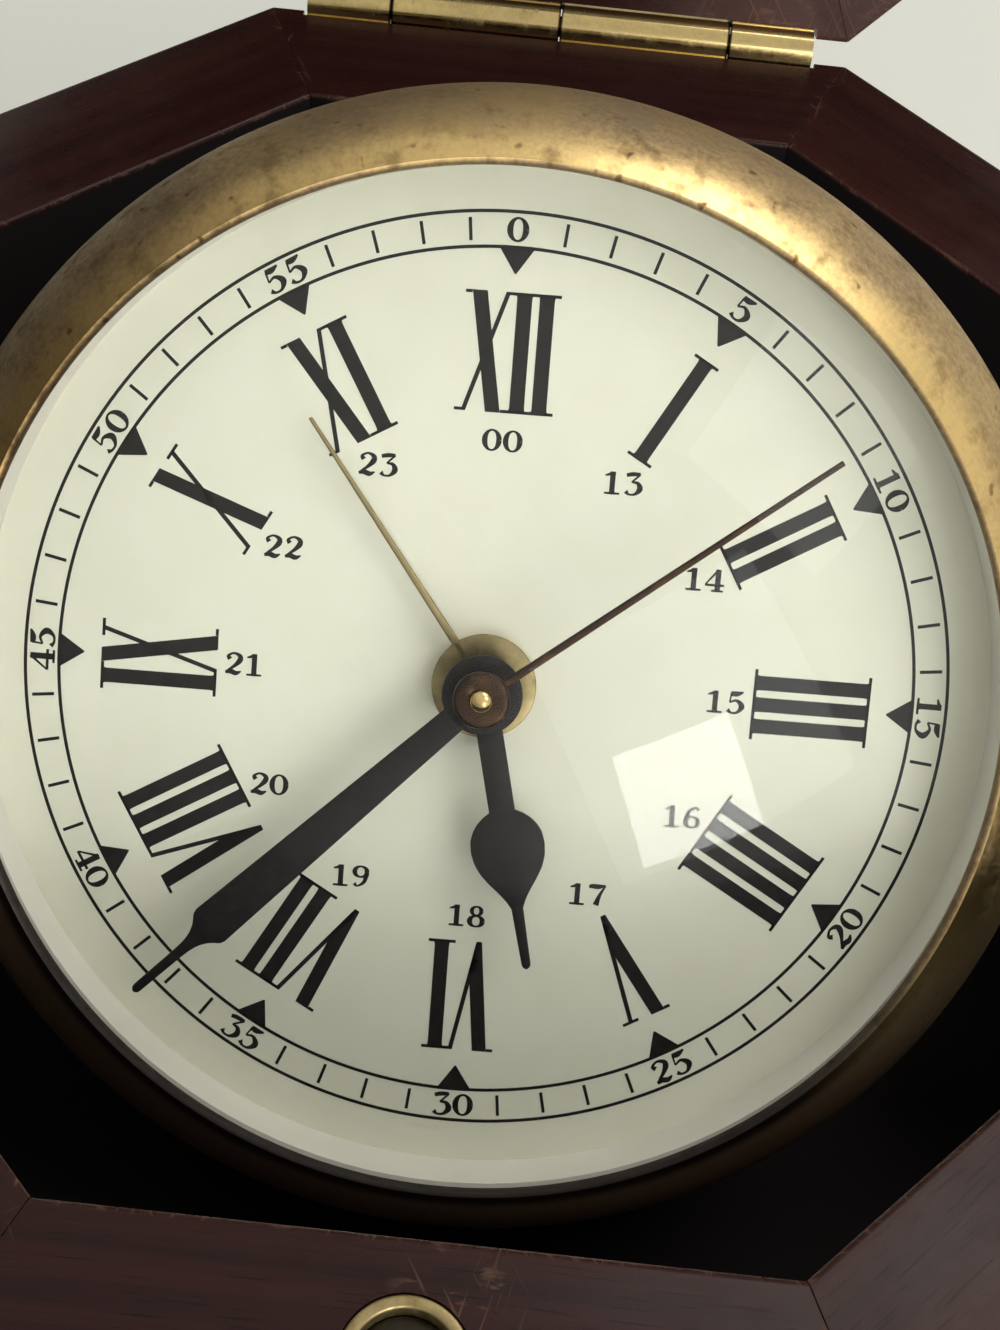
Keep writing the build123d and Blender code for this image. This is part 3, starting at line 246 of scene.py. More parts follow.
def shell(name, sheets):
    """A closed mesh from sheets of points. Each sheet is a grid of points with a grid of places for its
    pattern, in metres, and a grid of two marks, for wear and for the painted shade of the recess. Neighbours
    are joined by quads, points that meet are merged, and the faces are turned outwards."""
    points, places, marks, faces, count = [], [], [], [], 0
    for grid, place, mark in sheets:
        rows, columns = grid.shape[:2]
        corner = np.arange(rows * columns).reshape(rows, columns) + count
        quads = np.stack((corner[:-1, :-1], corner[:-1, 1:], corner[1:, 1:], corner[1:, :-1]), -1)
        faces.append(quads.reshape(-1, 4))
        points.append(grid.reshape(-1, 3))
        places.append(np.broadcast_to(place, (rows, columns, 2)).reshape(-1, 2))
        marks.append(np.broadcast_to(mark, (rows, columns, 2)).reshape(-1, 2))
        count += rows * columns
    faces = np.vstack(faces)
    mesh = bpy.data.meshes.new(name)
    mesh.from_pydata(np.vstack(points).tolist(), [], faces.tolist())
    for layer, value in (("lay", np.vstack(places)), ("marks", np.vstack(marks))):
        spread = value[faces.reshape(-1)].reshape(-1).astype(np.float32)
        mesh.uv_layers.new(name=layer).data.foreach_set("uv", spread)
    work = bmesh.new()
    work.from_mesh(mesh)
    bmesh.ops.remove_doubles(work, verts=work.verts, dist=merge_distance)
    bmesh.ops.recalc_face_normals(work, faces=work.faces)
    work.to_mesh(mesh)
    work.free()
    return mesh


def smooth(mesh):
    """Shades a mesh smooth, with its edges past an angle left sharp."""
    mesh.shade_smooth()
    mesh.set_sharp_from_angle(angle=sharp_angle)


def linked(name, data):
    """An object of the scene with some data."""
    thing = bpy.data.objects.new(name, data)
    bpy.context.scene.collection.objects.link(thing)
    return thing


def piece(name, sheets, material, body, slot, *nodes):
    """A finished piece that rides on a body, takes a material and stands for some CAD nodes, which it
    hides. Its slot is not used."""
    mesh = shell(name, sheets)
    smooth(mesh)
    mesh.materials.append(material)
    thing = linked(name, mesh)
    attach(thing, body)
    if nodes:
        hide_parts(*nodes)
    return thing


def cut_out(thing, sheets):
    """Takes a closed shape out of a piece and keeps the result as the piece's mesh."""
    tool = linked("tool", shell("tool", sheets))
    cut = thing.modifiers.new("cut", "BOOLEAN")
    cut.object = tool
    cut.operation = "DIFFERENCE"
    cut.solver = "EXACT"
    bpy.context.view_layer.update()
    result = thing.evaluated_get(bpy.context.evaluated_depsgraph_get())
    mesh = bpy.data.meshes.new_from_object(result)
    thing.modifiers.remove(cut)
    thing.data = mesh
    bpy.data.objects.remove(tool)
    smooth(mesh)


def in_place(x, y, z, setting):
    """Points of a piece's own x, y and z carried to a setting, which is an origin and three
    directions."""
    origin, x_way, y_way, z_way = setting
    return origin + x[..., None] * x_way + y[..., None] * y_way + z[..., None] * z_way


def turned_setting(setting, angle):
    """A setting turned about its own z direction by an angle in degrees."""
    origin, x_way, y_way, z_way = setting
    c, s = np.cos(np.radians(angle)), np.sin(np.radians(angle))
    return origin, c * x_way + s * y_way, c * y_way - s * x_way, z_way


def stave(setting, turn, foot, top, shift, recess_shaded=0.0):
    """A stave as its cross-section carried from mitre to mitre. At depth d in the wall its half length is
    (half - d) tan 22.5. The section draws in by the groove at each end and closes on the mitre's face."""
    section = eased(((0, foot), (0, top), (wall, top), (wall, foot)), edge_easing)
    curve_wear = np.tile((0.0, 0.4, 0.7, 0.4, 0.0), 4)
    edge_wear = np.append(curve_wear, curve_wear[0])
    middle = np.array((wall / 2, (foot + top) / 2))
    drawn_in = 1 - 2 * mitre_groove / np.array((wall, top - foot))
    inside = np.linspace(-1.0, 1.0, 9)[1:-1]
    way = np.concatenate(((-1, -1, -1, -0.96), inside, (0.96, 1, 1, 1)))
    grooved = np.concatenate(((0, 0, 1, 1), np.ones(len(inside)), (1, 1, 0, 0)))
    back_off = glue_line + mitre_groove * grooved
    scale = np.ones((len(way), 2))
    scale[[0, -1]] = 0.0
    scale[[1, -2]] = drawn_in
    end_wear = np.zeros(len(way))
    end_wear[[1, 2, -2, -3]] = 0.3
    depth_height = middle + (section - middle)[None] * scale[:, None]
    depth, height = depth_height[..., 0], depth_height[..., 1]
    x = way[:, None] * ((half - depth) * corner_share - back_off[:, None])
    grid = in_place(x, depth - half, height, turned_setting(setting, turn))
    place = np.stack((x + shift[0], np.broadcast_to(run_length(section) + shift[1], x.shape)), -1)
    wear = np.maximum(edge_wear[None, :], end_wear[:, None])
    # The inner face of a stave in the recess is marked for the painted shade there.
    shaded_recess = np.broadcast_to(recess_shaded * (section[:, 0] > wall - 0.01 * mm), wear.shape)
    return grid, place, np.stack((wear, shaded_recess), -1)


x_axis, y_axis, z_axis = np.eye(3)
base_setting = (np.zeros(3), x_axis, y_axis, z_axis)
box_wood = lacquered_wood("lacquered mahogany")
base_staves = {
    turn: stave(base_setting, turn, baize_thickness, rim_z, (0.31 * k, 0.23 * k), 1.0)
    for k, turn in enumerate(stave_turns)
}
catch_scuff = ((3.2 * mm, 12.6 * mm - half, rim_z), 5.5 * mm, 0.55, 0.0)
front_wood = lacquered_wood("mahogany by the catch", catch_scuff)
base_front = piece("base_front", [base_staves[0]], front_wood, "base", "mahogany", "base_stave_front")
base_back = piece("base_back", [base_staves[180]], box_wood, "base", "mahogany", "base_stave_back")
base_side_staves = [base_staves[turn] for turn in (90, 270)]
base_corner_staves = [base_staves[turn] for turn in (45, 135, 225, 315)]
piece("base_sides", base_side_staves, box_wood, "base", "mahogany", "base_pivot_staves")
piece("base_corners", base_corner_staves, box_wood, "base", "mahogany", "base_corner_staves")

# Catch. A thin brass cup, rubbed dull and rounded over at its rim, is pressed into the front rim, and a
# round dark magnet is glued into it a little below the wood.
catch_y = 8.4 * mm - half
catch_radius = 4.6 * mm
catch_wall = 1.0 * mm
catch_depth = 6.0 * mm
magnet_drop = 1.2 * mm
fit = 0.05 * mm
near_axis = 0.01 * mm
axis_easing = 0.002 * mm
spot_brown = (0.15, 0.085, 0.04)
brass_relief = 0.01 * mm


def lathe(profile, setting, turns=96):
    """A profile of radius and height turned once about a setting's z direction: x = r cos a, y = r sin a,
    z = h. The pattern's place is the way round at the widest radius, and the way along the profile."""
    profile = np.asarray(profile, float)
    angle = np.linspace(0.0, 2 * np.pi, turns + 1)
    radius, height = profile[:, 0][:, None], profile[:, 1][:, None]
    grid = in_place(radius * np.cos(angle), radius * np.sin(angle), height + 0 * angle, setting)
    way = run_length(profile)[:, None] + 0 * angle
    place = np.stack((angle * profile[:, 0].max() + 0 * way, way), -1)
    return grid, place, 0.0


def post(radius, low, high):
    """Profile of a plain solid round, closed on its axis."""
    return (0, low), (radius, low), (radius, high), (0, high)


def flat_ring(bore, radius, low, high, easings, steps=5):
    """Profile of a flat ring with eased edges, from the foot of its bore round by its outside."""
    return eased(((bore, low), (radius, low), (radius, high), (bore, high)), easings, steps)


def disc(radius, low, high, low_easing, high_easing):
    """Profile of a round disc with eased edges, closed beside its axis."""
    return flat_ring(near_axis, radius, low, high, (axis_easing, low_easing, high_easing, axis_easing))


brass_tree, brass_in, brass_out = effect(
    "brass age", Place="Vector", Bright="Color", Dull="Color", Age="Float", Spots="Float", Satin="Float"
)
brass_place = brass_in["Place"]
cloud = speckle(brass_place, 70.0, 5.0, 0.6)
grit = speckle(brass_place, 1500.0, 4.0, 0.7)
clouded = reckon("ADD", brass_in["Age"], remap(cloud, 0.2, 0.8, -0.30, 0.30))
aged = reckon("ADD", clouded, remap(grit, 0.2, 0.8, -0.22, 0.22))
metal = blend_colours(aged, brass_in["Bright"], brass_in["Dull"])
fly_spots = remap(speckle(brass_place, 480.0, 2.0, 0.5), 0.64, 0.76)
blots = remap(speckle(brass_place, 330.0, 3.0, 0.6), 0.48, 0.72, 0.0, 0.55)
spots = reckon("MAXIMUM", fly_spots, blots)
spotted = reckon("MULTIPLY", spots, brass_in["Spots"])
satin = reckon("ADD", brass_in["Satin"], reckon("MULTIPLY", spotted, 0.4))
feed(brass_out, {
    "Color": blend_colours(spotted, metal, spot_brown),
    "Roughness": reckon("ADD", remap(aged, 0.0, 1.0, 0.0, 0.32), satin),
    "Height": grit,
})


def brass(name, bright, dull, age, spots, satin=0.12, turned=False):
    """Solid brass with its lacquer gone, brighter where it is handled and dull with brown spots
    elsewhere. On a turned piece the pattern is laid by its UV map. Comes with its shader and its node of
    the effect."""
    material, tree, shader = new_finish(name, metallic=1.0)
    place = map_place(tree, "lay") if turned else object_place(tree)
    feeds = {"Place": place, "Bright": bright, "Dull": dull, "Age": age, "Spots": spots, "Satin": satin}
    surface = put(tree, "ShaderNodeGroup", feeds, node_tree=brass_tree)
    feed(shader, {"Base Color": surface.outputs["Color"], "Roughness": surface.outputs["Roughness"]})
    bump(surface.outputs["Height"], shader, brass_relief, 0.3 if turned else 0.25)
    return material, shader, surface


def grained(name, dark, light, noise, rough=None, relief=None, texture=None, **constants):
    """A finish that goes from a dark to a light colour by a noise, given as its scale, detail and
    roughness. The noise, or another one for its texture, may also set the finish's own roughness, between
    two values, and its bump, by distance and strength."""
    material, tree, shader = new_finish(name, **constants)
    place = object_place(tree)
    grain = speckle(place, *noise)
    feed(shader, {"Base Color": blend_colours(grain, dark, light)})
    if texture:
        grain = speckle(place, *texture)
    if rough:
        feed(shader, {"Roughness": remap(grain, 0.2, 0.8, *rough)})
    if relief:
        bump(grain, shader, *relief)
    return material


polished_brass, *_ = brass("polished brass", (0.80, 0.60, 0.27), (0.42, 0.30, 0.14), 0.15, 0.5)
rubbed_brass, *_ = brass("rubbed brass", (0.42, 0.33, 0.155), (0.21, 0.16, 0.085), 0.5, 0.7, 0.30)
catch_setting = (np.array((0.0, catch_y, rim_z)), x_axis, y_axis, z_axis)
cut_out(base_front, [lathe(post(catch_radius + fit, -catch_depth - fit, mm), catch_setting)])
cup_floor = catch_wall - catch_depth
cup_bore = catch_radius - catch_wall
vent = 0.3 * mm
cup_profile = eased(
    (
        (catch_radius, 0), (catch_radius, -catch_depth), (vent, -catch_depth), (vent, cup_floor),
        (cup_bore, cup_floor), (cup_bore, 0),
    ),
    (0.3 * mm, 0.2 * mm, 0.05 * mm, 0.05 * mm, 0.2 * mm, 0.35 * mm),
)
piece("catch_ring", [lathe(cup_profile, catch_setting)], rubbed_brass, "base", "polished_brass", "catch_cup")
magnet_grey = grained(
    "dull magnet", (0.014, 0.012, 0.010), (0.05, 0.042, 0.03), (1800.0, 5.0, 0.7), (0.35, 0.6), metallic=1.0
)
magnet_profile = disc(cup_bore - fit, cup_floor, -magnet_drop, 0.2 * mm, 0.35 * mm)
piece("catch_disc", [lathe(magnet_profile, catch_setting)], magnet_grey, "base", "magnet", "catch_magnet")

# Lid. A shallow octagonal tray of the same mitred staves with a flat panel over them, open at 110 degrees
# on the hinge behind the box. Its front stave carries a round steel strike opposite the magnet, and about
# one corner by the hinge its lacquer is worn and made paler by a painted light.
hinge_reach = half + 1.5 * mm
closing_gap = 0.4 * mm
hinge_z = rim_z + closing_gap / 2
lid_angle = np.radians(110.0)
lid_depth = 38.0 * mm
lid_panel = 8.0 * mm
panel_bevel = 2.5 * mm
panel_easing = 0.4 * mm
strike_thickness = 1.2 * mm
hinge_middle = np.array((0.0, hinge_reach, hinge_z))
lid_up = np.array((0.0, np.sin(lid_angle), np.cos(lid_angle)))
lid_front = np.cross(lid_up, -x_axis)
lid_middle = hinge_middle + hinge_reach * lid_front + closing_gap / 2 * lid_up
lid_setting = (lid_middle, x_axis, -lid_front, lid_up)
lid_staves = {
    turn: stave(lid_setting, turn, 0.0, lid_depth, (0.17 + 0.29 * k, 0.41 * k))
    for k, turn in enumerate(stave_turns)
}
lid_corner = lid_middle + half * corner_share * x_axis - half * lid_front
# Worn about the corner by the hinge, with a pale painted light there.
lid_wood = lacquered_wood("mahogany by the hinge", (tuple(lid_corner), 22.0 * mm, 0.9, 0.8))
lid_side_staves = [lid_staves[turn] for turn in stave_turns if turn not in (0, 180)]
lid_front_piece = piece("lid_front", [lid_staves[0]], box_wood, "lid", "mahogany", "lid_stave_front")
lid_back_piece = piece("lid_back", [lid_staves[180]], lid_wood, "lid", "mahogany", "lid_stave_back")
piece("lid_sides", lid_side_staves, lid_wood, "lid", "mahogany", "lid_side_staves")


def octagon_panel(setting, reach, low, high, bevel, easing):
    """A profile of inset and height carried round an octagon: at inset i its apothem is reach - i. Its
    pattern runs one way across the whole panel."""
    profile = np.array((
        (reach, low), (easing, low), (0, low + easing), (0, high - bevel),
        (0.25 * bevel, high - 0.55 * bevel), (0.6 * bevel, high - 0.2 * bevel), (bevel, high), (reach, high),
    ))
    angle = np.radians(np.arange(9) * 45.0 + 22.5)
    spread = (reach - profile[:, 0][:, None]) / np.cos(np.radians(22.5))
    x, y = spread * np.cos(angle), spread * np.sin(angle)
    height = np.broadcast_to(profile[:, 1][:, None], x.shape)
    wear = np.array((0, 0.3, 0.4, 0.15, 0.4, 0.4, 0.2, 0))[:, None] + 0 * x
    place = np.stack((x, y + 0.5 * height), -1)
    return in_place(x, y, height, setting), place, np.stack((wear, 0 * wear), -1)


def steel(name, colour, roughness):
    """Bright steel with a fine drawn grain."""
    darker = tuple(0.7 * c for c in colour)
    rough = (roughness - 0.07, roughness + 0.1)
    noise = ((400.0, 400.0, 6000.0), 4.0, 0.6)
    return grained(name, darker, colour, noise, rough, (0.005 * mm, 0.2), metallic=1.0)


lid_top = octagon_panel(lid_setting, half, lid_depth, lid_depth + lid_panel, panel_bevel, panel_easing)
piece("lid_panel", [lid_top], box_wood, "lid", "mahogany", "lid_top")
strike_setting = (lid_middle - catch_y * lid_front, x_axis, -lid_front, lid_up)
cut_out(lid_front_piece, [lathe(post(catch_radius + fit, -mm, strike_thickness + fit), strike_setting)])
bright_steel = steel("bright steel", (0.56, 0.55, 0.53), 0.28)
strike_profile = disc(catch_radius, 0.0, strike_thickness, 0.3 * mm, 0.1 * mm)
piece("strike_disc", [lathe(strike_profile, strike_setting)], bright_steel, "lid", "steel", "lid_strike")

# Hinge. A drawn brass butt hinge, 60 mm long, with leaves let into the outer faces of the back staves and
# knuckles rolled round a pin, with dirt in their joints. The staves are hollowed for the barrel and the
# leaves.
hinge_length = 60.0 * mm
hinge_dirt = (0.03, 0.019, 0.009)
joint_spacing = hinge_length / 6
barrel_radius = 2.5 * mm
leaf_thickness = 1.2 * mm
leaf_height = 14.0 * mm
seat_end = hinge_length / 2 + 0.4 * mm
channel_radius = barrel_radius + 0.2 * mm
hinge_axis_setting = (hinge_middle, y_axis, z_axis, x_axis)


def slab(setting, low, high):
    """A closed box between two corners of a setting: its outline is carried from the low to the high z
    and closes to its middle at both ends."""
    corners = np.array(((low[0], low[1]), (high[0], low[1]), (high[0], high[1]), (low[0], high[1])))
    outline = np.vstack((corners, corners[:1]))
    middle = np.mean(corners, axis=0)
    rows = np.stack((middle + 0 * outline, outline, outline, middle + 0 * outline))
    heights = np.array((low[2], low[2], high[2], high[2]))[:, None] + 0 * rows[..., 0]
    grid = in_place(rows[..., 0], rows[..., 1], heights, setting)
    return grid, grid[..., :2], 0.0


def dress(material, *names):
    """Gives CAD nodes that show as they are a material."""
    for name in names:
        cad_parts[name].data.materials.clear()
        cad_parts[name].data.materials.append(material)


for stave_piece, down, inward in ((base_back, -z_axis, -y_axis), (lid_back_piece, lid_up, lid_front)):
    pocket = (hinge_middle + (hinge_reach - half) * inward, x_axis, down, inward)
    cut_out(stave_piece, [lathe(post(channel_radius, -seat_end, seat_end), hinge_axis_setting)])
    pocket_far = (seat_end, leaf_height + fit, leaf_thickness + fit)
    cut_out(stave_piece, [slab(pocket, (-seat_end, -mm, -mm), pocket_far)])

hinge_brass, hinge_shader, hinge_surface = brass(
    "hinge brass", (0.66, 0.50, 0.225), (0.34, 0.25, 0.12), 0.2, 0.4, 0.14
)
along_hinge, _, _ = parts(object_place(hinge_brass.node_tree))
off_joint = reckon("PINGPONG", along_hinge, joint_spacing)
joint_dirt = remap(off_joint, 0.14 * mm, 0.36 * mm, 1.0, 0.0)
dirty = blend_colours(joint_dirt, hinge_surface.outputs["Color"], hinge_dirt)
feed(hinge_shader, {"Base Color": dirty})
dress(hinge_brass, "hinge_leaf_base", "hinge_leaf_lid", "hinge_pin", "hinge_screws_base", "hinge_screws_lid")

# Floor of the recess and the baize under the base. The floor is a panel coloured near black and matt like
# the walls of the recess, a painted shade, set between the staves; a sheet of dark green baize is glued
# under the box.
baize = grained(
    "green baize", (0.008, 0.03, 0.016), (0.03, 0.09, 0.05), (2600.0, 5.0, 0.7), None, (0.2 * mm, 0.6),
    roughness=0.95, sheen_weight=0.4, sheen_roughness=0.5,
)
shaded_recess = grained(
    "recess shade", recess_shade_black, (0.036, 0.027, 0.027), ((60.0, 2200.0, 2200.0), 4.0), (0.75, 0.9),
    specular_ior_level=0.2,
)
dress(shaded_recess, "base_floor")
dress(baize, "base_baize")


# Pivots. A white nylon bush in each side stave takes a steel pin of the drum, with a black rubber washer
# between them that holds the clock where it is tilted.
def moulding(name, dark, light, rough, grain=1400.0, relief=0.3):
    """Moulded plastic or rubber: a colour that varies a little, with the fine texture of its mould."""
    texture = (grain, 4.0, 0.6)
    bumps = (0.02 * mm, relief)
    return grained(name, dark, light, (90.0, 4.0, 0.6), rough, bumps, texture, specular_ior_level=0.4)


drawn_steel = steel("pivot steel", (0.45, 0.44, 0.42), 0.35)
nylon = moulding("white nylon", (0.62, 0.60, 0.54), (0.74, 0.72, 0.66), (0.35, 0.5))
rubber = moulding("black rubber", (0.012, 0.012, 0.012), (0.025, 0.024, 0.023), (0.6, 0.8))
dress(nylon, "pivot_bushes")
dress(rubber, "pivot_washers")
dress(drawn_steel, "pivot_pins")

# Drum. A turned brass case open at the front, with a flange for the bezel and a lip behind for the back
# cover. It hangs in the dark of the recess and has gone brown.
tilt = np.radians(48.13)
dial_axis = np.array((0.0, -np.sin(tilt), np.cos(tilt)))
dial_up = np.array((0.0, np.cos(tilt), np.sin(tilt)))
pivot_z = 55.4423 * mm
dial_rise = 15.3 * mm
tilt_setting = (pivot_z * z_axis + dial_rise * dial_axis, x_axis, dial_up, dial_axis)
drum_radius = 47.502 * mm
drum_wall = 1.5 * mm
drum_back = -24.0 * mm
drum_bore = drum_radius - drum_wall
lip_bore = drum_radius - 5.5 * mm
flange_radius = 51.252 * mm
flange_top = -4.6 * mm
flange_foot = -5.8 * mm
dial_thickness = 0.6 * mm
drum_profile = eased(
    (
        (lip_bore, drum_back), (drum_radius, drum_back), (drum_radius, flange_foot),
        (flange_radius, flange_foot), (flange_radius, flange_top), (drum_radius, flange_top),
        (drum_radius, -dial_thickness), (drum_bore, -dial_thickness),
        (drum_bore, drum_back + drum_wall), (lip_bore, drum_back + drum_wall),
    ),
    np.array((0.2, 0.7, 0.1, 0.3, 0.3, 0.1, 0.2, 0.2, 0.3, 0.2)) * mm,
)
drum_brass, *_ = brass("drum brass", (0.52, 0.38, 0.18), (0.20, 0.14, 0.075), 0.65, 0.7, 0.25, True)
piece("drum_case", [lathe(drum_profile, tilt_setting, 128)], drum_brass, "clock", "aged_brass", "drum")

# Bezel. A spun brass ring with a rounded face and a thin lip over the glass, satin with age and speckled
# with brown spots. A painted highlight makes it golden beside the lip; painted shade darkens the crease at
# the glass, the lip low down and its left and lower part, which low down is also browner, partly its own
# brown and partly a painted reflection of the wood.
bezel_bright = (0.86, 0.61, 0.26)
bezel_dull = (0.33, 0.24, 0.145)
# Tint of the painted shade on the bezel's left and lower part.
bezel_shade_tint = (0.22, 0.195, 0.165)
# Brown of the lower bezel: partly the brass's own brown, partly a painted reflection of the wood below.
bezel_brown_and_reflection = (0.24, 0.15, 0.088)
# Near black of the lip low down: a painted shade.
lip_shade = (0.022, 0.014, 0.011)
bezel_radius = 52.502 * mm
lip_radius = 44.402 * mm
lip_height = 9.2 * mm
lip_edge = 0.5 * mm
lip_foot = (lip_radius, lip_height - 1.0 * mm)
shoulder_z = -3.4 * mm
skirt_foot = -6.0 * mm
skirt_easing = 0.3 * mm
bezel_inside = bezel_radius - 1.2 * mm
bezel_bulge = 1.8 * mm
inner_bulge = -0.8 * mm
crystal_radius = 46.602 * mm
crystal_apex = 18.0 * mm
crystal_thickness = 1.8 * mm
crystal_sag = crystal_apex - 8.0 * mm
crystal_sphere = (lip_radius ** 2 + crystal_sag ** 2) / (2 * crystal_sag)


def glass_height(radius, sphere):
    """Height of a surface of the glass over the dial at a radius: the sphere's centre plus
    sqrt(R^2 - r^2)."""
    return crystal_apex - crystal_sphere + np.sqrt(sphere ** 2 - np.asarray(radius) ** 2)


def bulged(start, end, bulge, steps):
    """Points of the round arc from start to end whose middle stands a bulge to the left of its chord."""
    start, end = np.array(start), np.array(end)
    chord = end - start
    length = np.linalg.norm(chord)
    left = np.array((-chord[1], chord[0])) / length
    radius = (length ** 2 / 4 + bulge ** 2) / (2 * bulge)
    spread = np.arcsin(length / 2 / abs(radius))
    angle = np.linspace(-spread, spread, steps)[:, None]
    middle = (start + end) / 2 + left * (bulge - radius)
    return middle + abs(radius) * np.sin(angle) * chord / length + radius * np.cos(angle) * left


lip_rounding = np.array(((0, -0.85), (0.12, -0.45), (0.45, -0.12)))
lip_curve = np.array((lip_radius, lip_height)) + lip_edge * lip_rounding
bezel_face = bulged((lip_radius + lip_edge, lip_height), (bezel_radius, shoulder_z), bezel_bulge, 22)
under_radius = crystal_radius + 0.4 * mm
under_lip = (under_radius, float(glass_height(under_radius, crystal_sphere)) + 0.2 * mm)
bezel_profile = np.vstack((
    (lip_foot,), lip_curve, bezel_face,
    ((bezel_radius, skirt_foot + skirt_easing), (bezel_radius - skirt_easing, skirt_foot),
     (bezel_inside, skirt_foot)),
    bulged((bezel_inside, shoulder_z), under_lip, inner_bulge, 10), (lip_foot,),
))
face_first = 1 + len(lip_curve)
face_start, face_end = run_length(bezel_profile)[[face_first, face_first + len(bezel_face) - 1]]
face_width = face_end - face_start
half_round = np.pi * bezel_radius
bezel_brass, bezel_shader, bezel_surface = brass(
    "bezel brass", bezel_bright, bezel_dull, 0.5, 0.8, 0.33, True
)
round_way, face_way, _ = parts(map_place(bezel_brass.node_tree, "lay"))


def off_lip(start, end, *levels):
    """A step of the way from the lip over the bezel's face, in shares of its width."""
    start, end = face_start + np.array((start, end)) * face_width
    return remap(face_way, float(start), float(end), *levels)


def round_bezel(start, end, *levels):
    """A step of the way round the bezel against the clock from three, in half turns."""
    return remap(round_way, start * half_round, end * half_round, *levels)


# Painted highlight: the metal is brighter gold beside the lip and duller further out.
golden_highlight = off_lip(0.03, 0.36, 0.10, 0.80)
# Painted shade: the metal is dull and dark in the crease where the lip meets the glass.
crease_shade = off_lip(-0.4 * face_start / face_width, 0.02, 1.0, 0.0)
# Painted shade: the left and lower part of the bezel are darkened.
shaded_side = reckon("MULTIPLY", round_bezel(0.44, 0.84), round_bezel(1.60, 1.94, 1.0, 0.0))
shaded_side = reckon("MULTIPLY", shaded_side, 0.95)
shaded_metal = blend_colours(shaded_side, bezel_surface.outputs["Color"], bezel_shade_tint, "MULTIPLY")
# Low down the bezel is browner and less metallic: partly its own brown, partly a painted reflection of the
# wood.
brown_and_reflection = reckon("MULTIPLY", round_bezel(0.88, 1.18), round_bezel(1.72, 1.97, 1.0, 0.0))
# Painted shade: beside the lip, low down, the bezel goes near black.
brown_and_reflection_tone = blend_colours(off_lip(0.03, 0.13, 1.0, 0.0), bezel_brown_and_reflection, lip_shade)
feed(bezel_surface.inputs, {"Age": reckon("MAXIMUM", golden_highlight, crease_shade)})
feed(bezel_shader, {
    "Base Color": blend_colours(brown_and_reflection, shaded_metal, brown_and_reflection_tone),
    "Metallic": remap(brown_and_reflection, 0.0, 1.0, 1.0, 0.25),
})
piece("bezel_ring", [lathe(bezel_profile, tilt_setting, 192)], bezel_brass, "clock", "aged_brass", "bezel")

# Glass. A domed crystal of even thickness, held under the bezel's lip on a black gasket. It is clear and
# smooth, with a slight tint where dust lies.
glass_run = np.linspace(0.0, 1.0, 40) * crystal_radius
glass_outside = np.stack((glass_run, glass_height(glass_run, crystal_sphere)), -1)
glass_inside = np.stack((glass_run, glass_height(glass_run, crystal_sphere - crystal_thickness)), -1)
glass_profile = np.vstack((glass_outside, glass_inside[::-1]))
clear_glass = grained(
    "clear dome", (0.995, 1.0, 0.99), (0.985, 0.99, 0.975), (900.0, 3.0, 0.6),
    roughness=0.0, transmission_weight=1.0, ior=1.22,
)
dome_sheet = lathe(glass_profile, tilt_setting, 128)
dome = piece("glass_dome", [dome_sheet], clear_glass, "clock", "crystal_glass", "crystal")
dome.visible_shadow = False

# Gasket and spacer. A black rubber band round the glass's edge, and a thin white ring that stands on the
# dial and holds the glass against the lip.
dress(rubber, "crystal_gasket")
dress(nylon, "spacer_ring")

# Dial. A thin metal disc painted cream, slightly mottled with age. It is clamped round the movement's
# stem by a brass nut.
face_roll = 1.6
face_setting = turned_setting(tilt_setting, face_roll)
dial_radius = drum_radius - 0.2 * mm
stem_hole = 3.35 * mm
dial_easings = (0.05 * mm, 0.05 * mm, 0.12 * mm, 0.05 * mm)
dial_profile = flat_ring(stem_hole, dial_radius, -dial_thickness, 0.0, dial_easings, 3)


def paint(name, dark, light, rough, cells, specular):
    """Old brushed or printed paint: one colour mottled towards another, with a fine grain that sets its
    roughness."""
    material, tree, shader = new_finish(name, specular_ior_level=specular)
    place = object_place(tree)
    mottle = speckle(place, cells, 6.0, 0.65)
    grain = speckle(place, 3200.0, 3.0, 0.6)
    feed(shader, {
        "Base Color": blend_colours(remap(mottle, 0.25, 0.75), dark, light),
        "Roughness": remap(grain, 0.2, 0.8, *rough),
    })
    bump(grain, shader, 0.008 * mm, 0.25)
    return material


dial_cream = paint("dial cream", (0.765, 0.765, 0.64), (0.80, 0.80, 0.685), (0.50, 0.65), 160.0, 0.05)
piece("dial_face", [lathe(dial_profile, face_setting, 128)], dial_cream, "clock", "dial_cream", "dial")
dress(polished_brass, "dial_nut")

# Printing on the dial. One pass of black ink: two rings for the minutes with ticks and small triangles,
# minute numbers between the rings, radial Roman hours and a row of afternoon hours inside them.
ink_top = 0.03 * mm
ink_root = -0.01 * mm
ring_radii = (38.2 * mm, 41.2 * mm)
ring_line = 0.29 * mm
tick_ends = (38.72 * mm, 40.68 * mm)
tick_width = 0.29 * mm
triangle_tip = 35.95 * mm
triangle_widths = (0.12 * mm, 3.15 * mm)
dial_ink = paint("dial ink", (0.010, 0.009, 0.009), (0.018, 0.016, 0.015), (0.45, 0.65), 900.0, 0.15)
printing = []


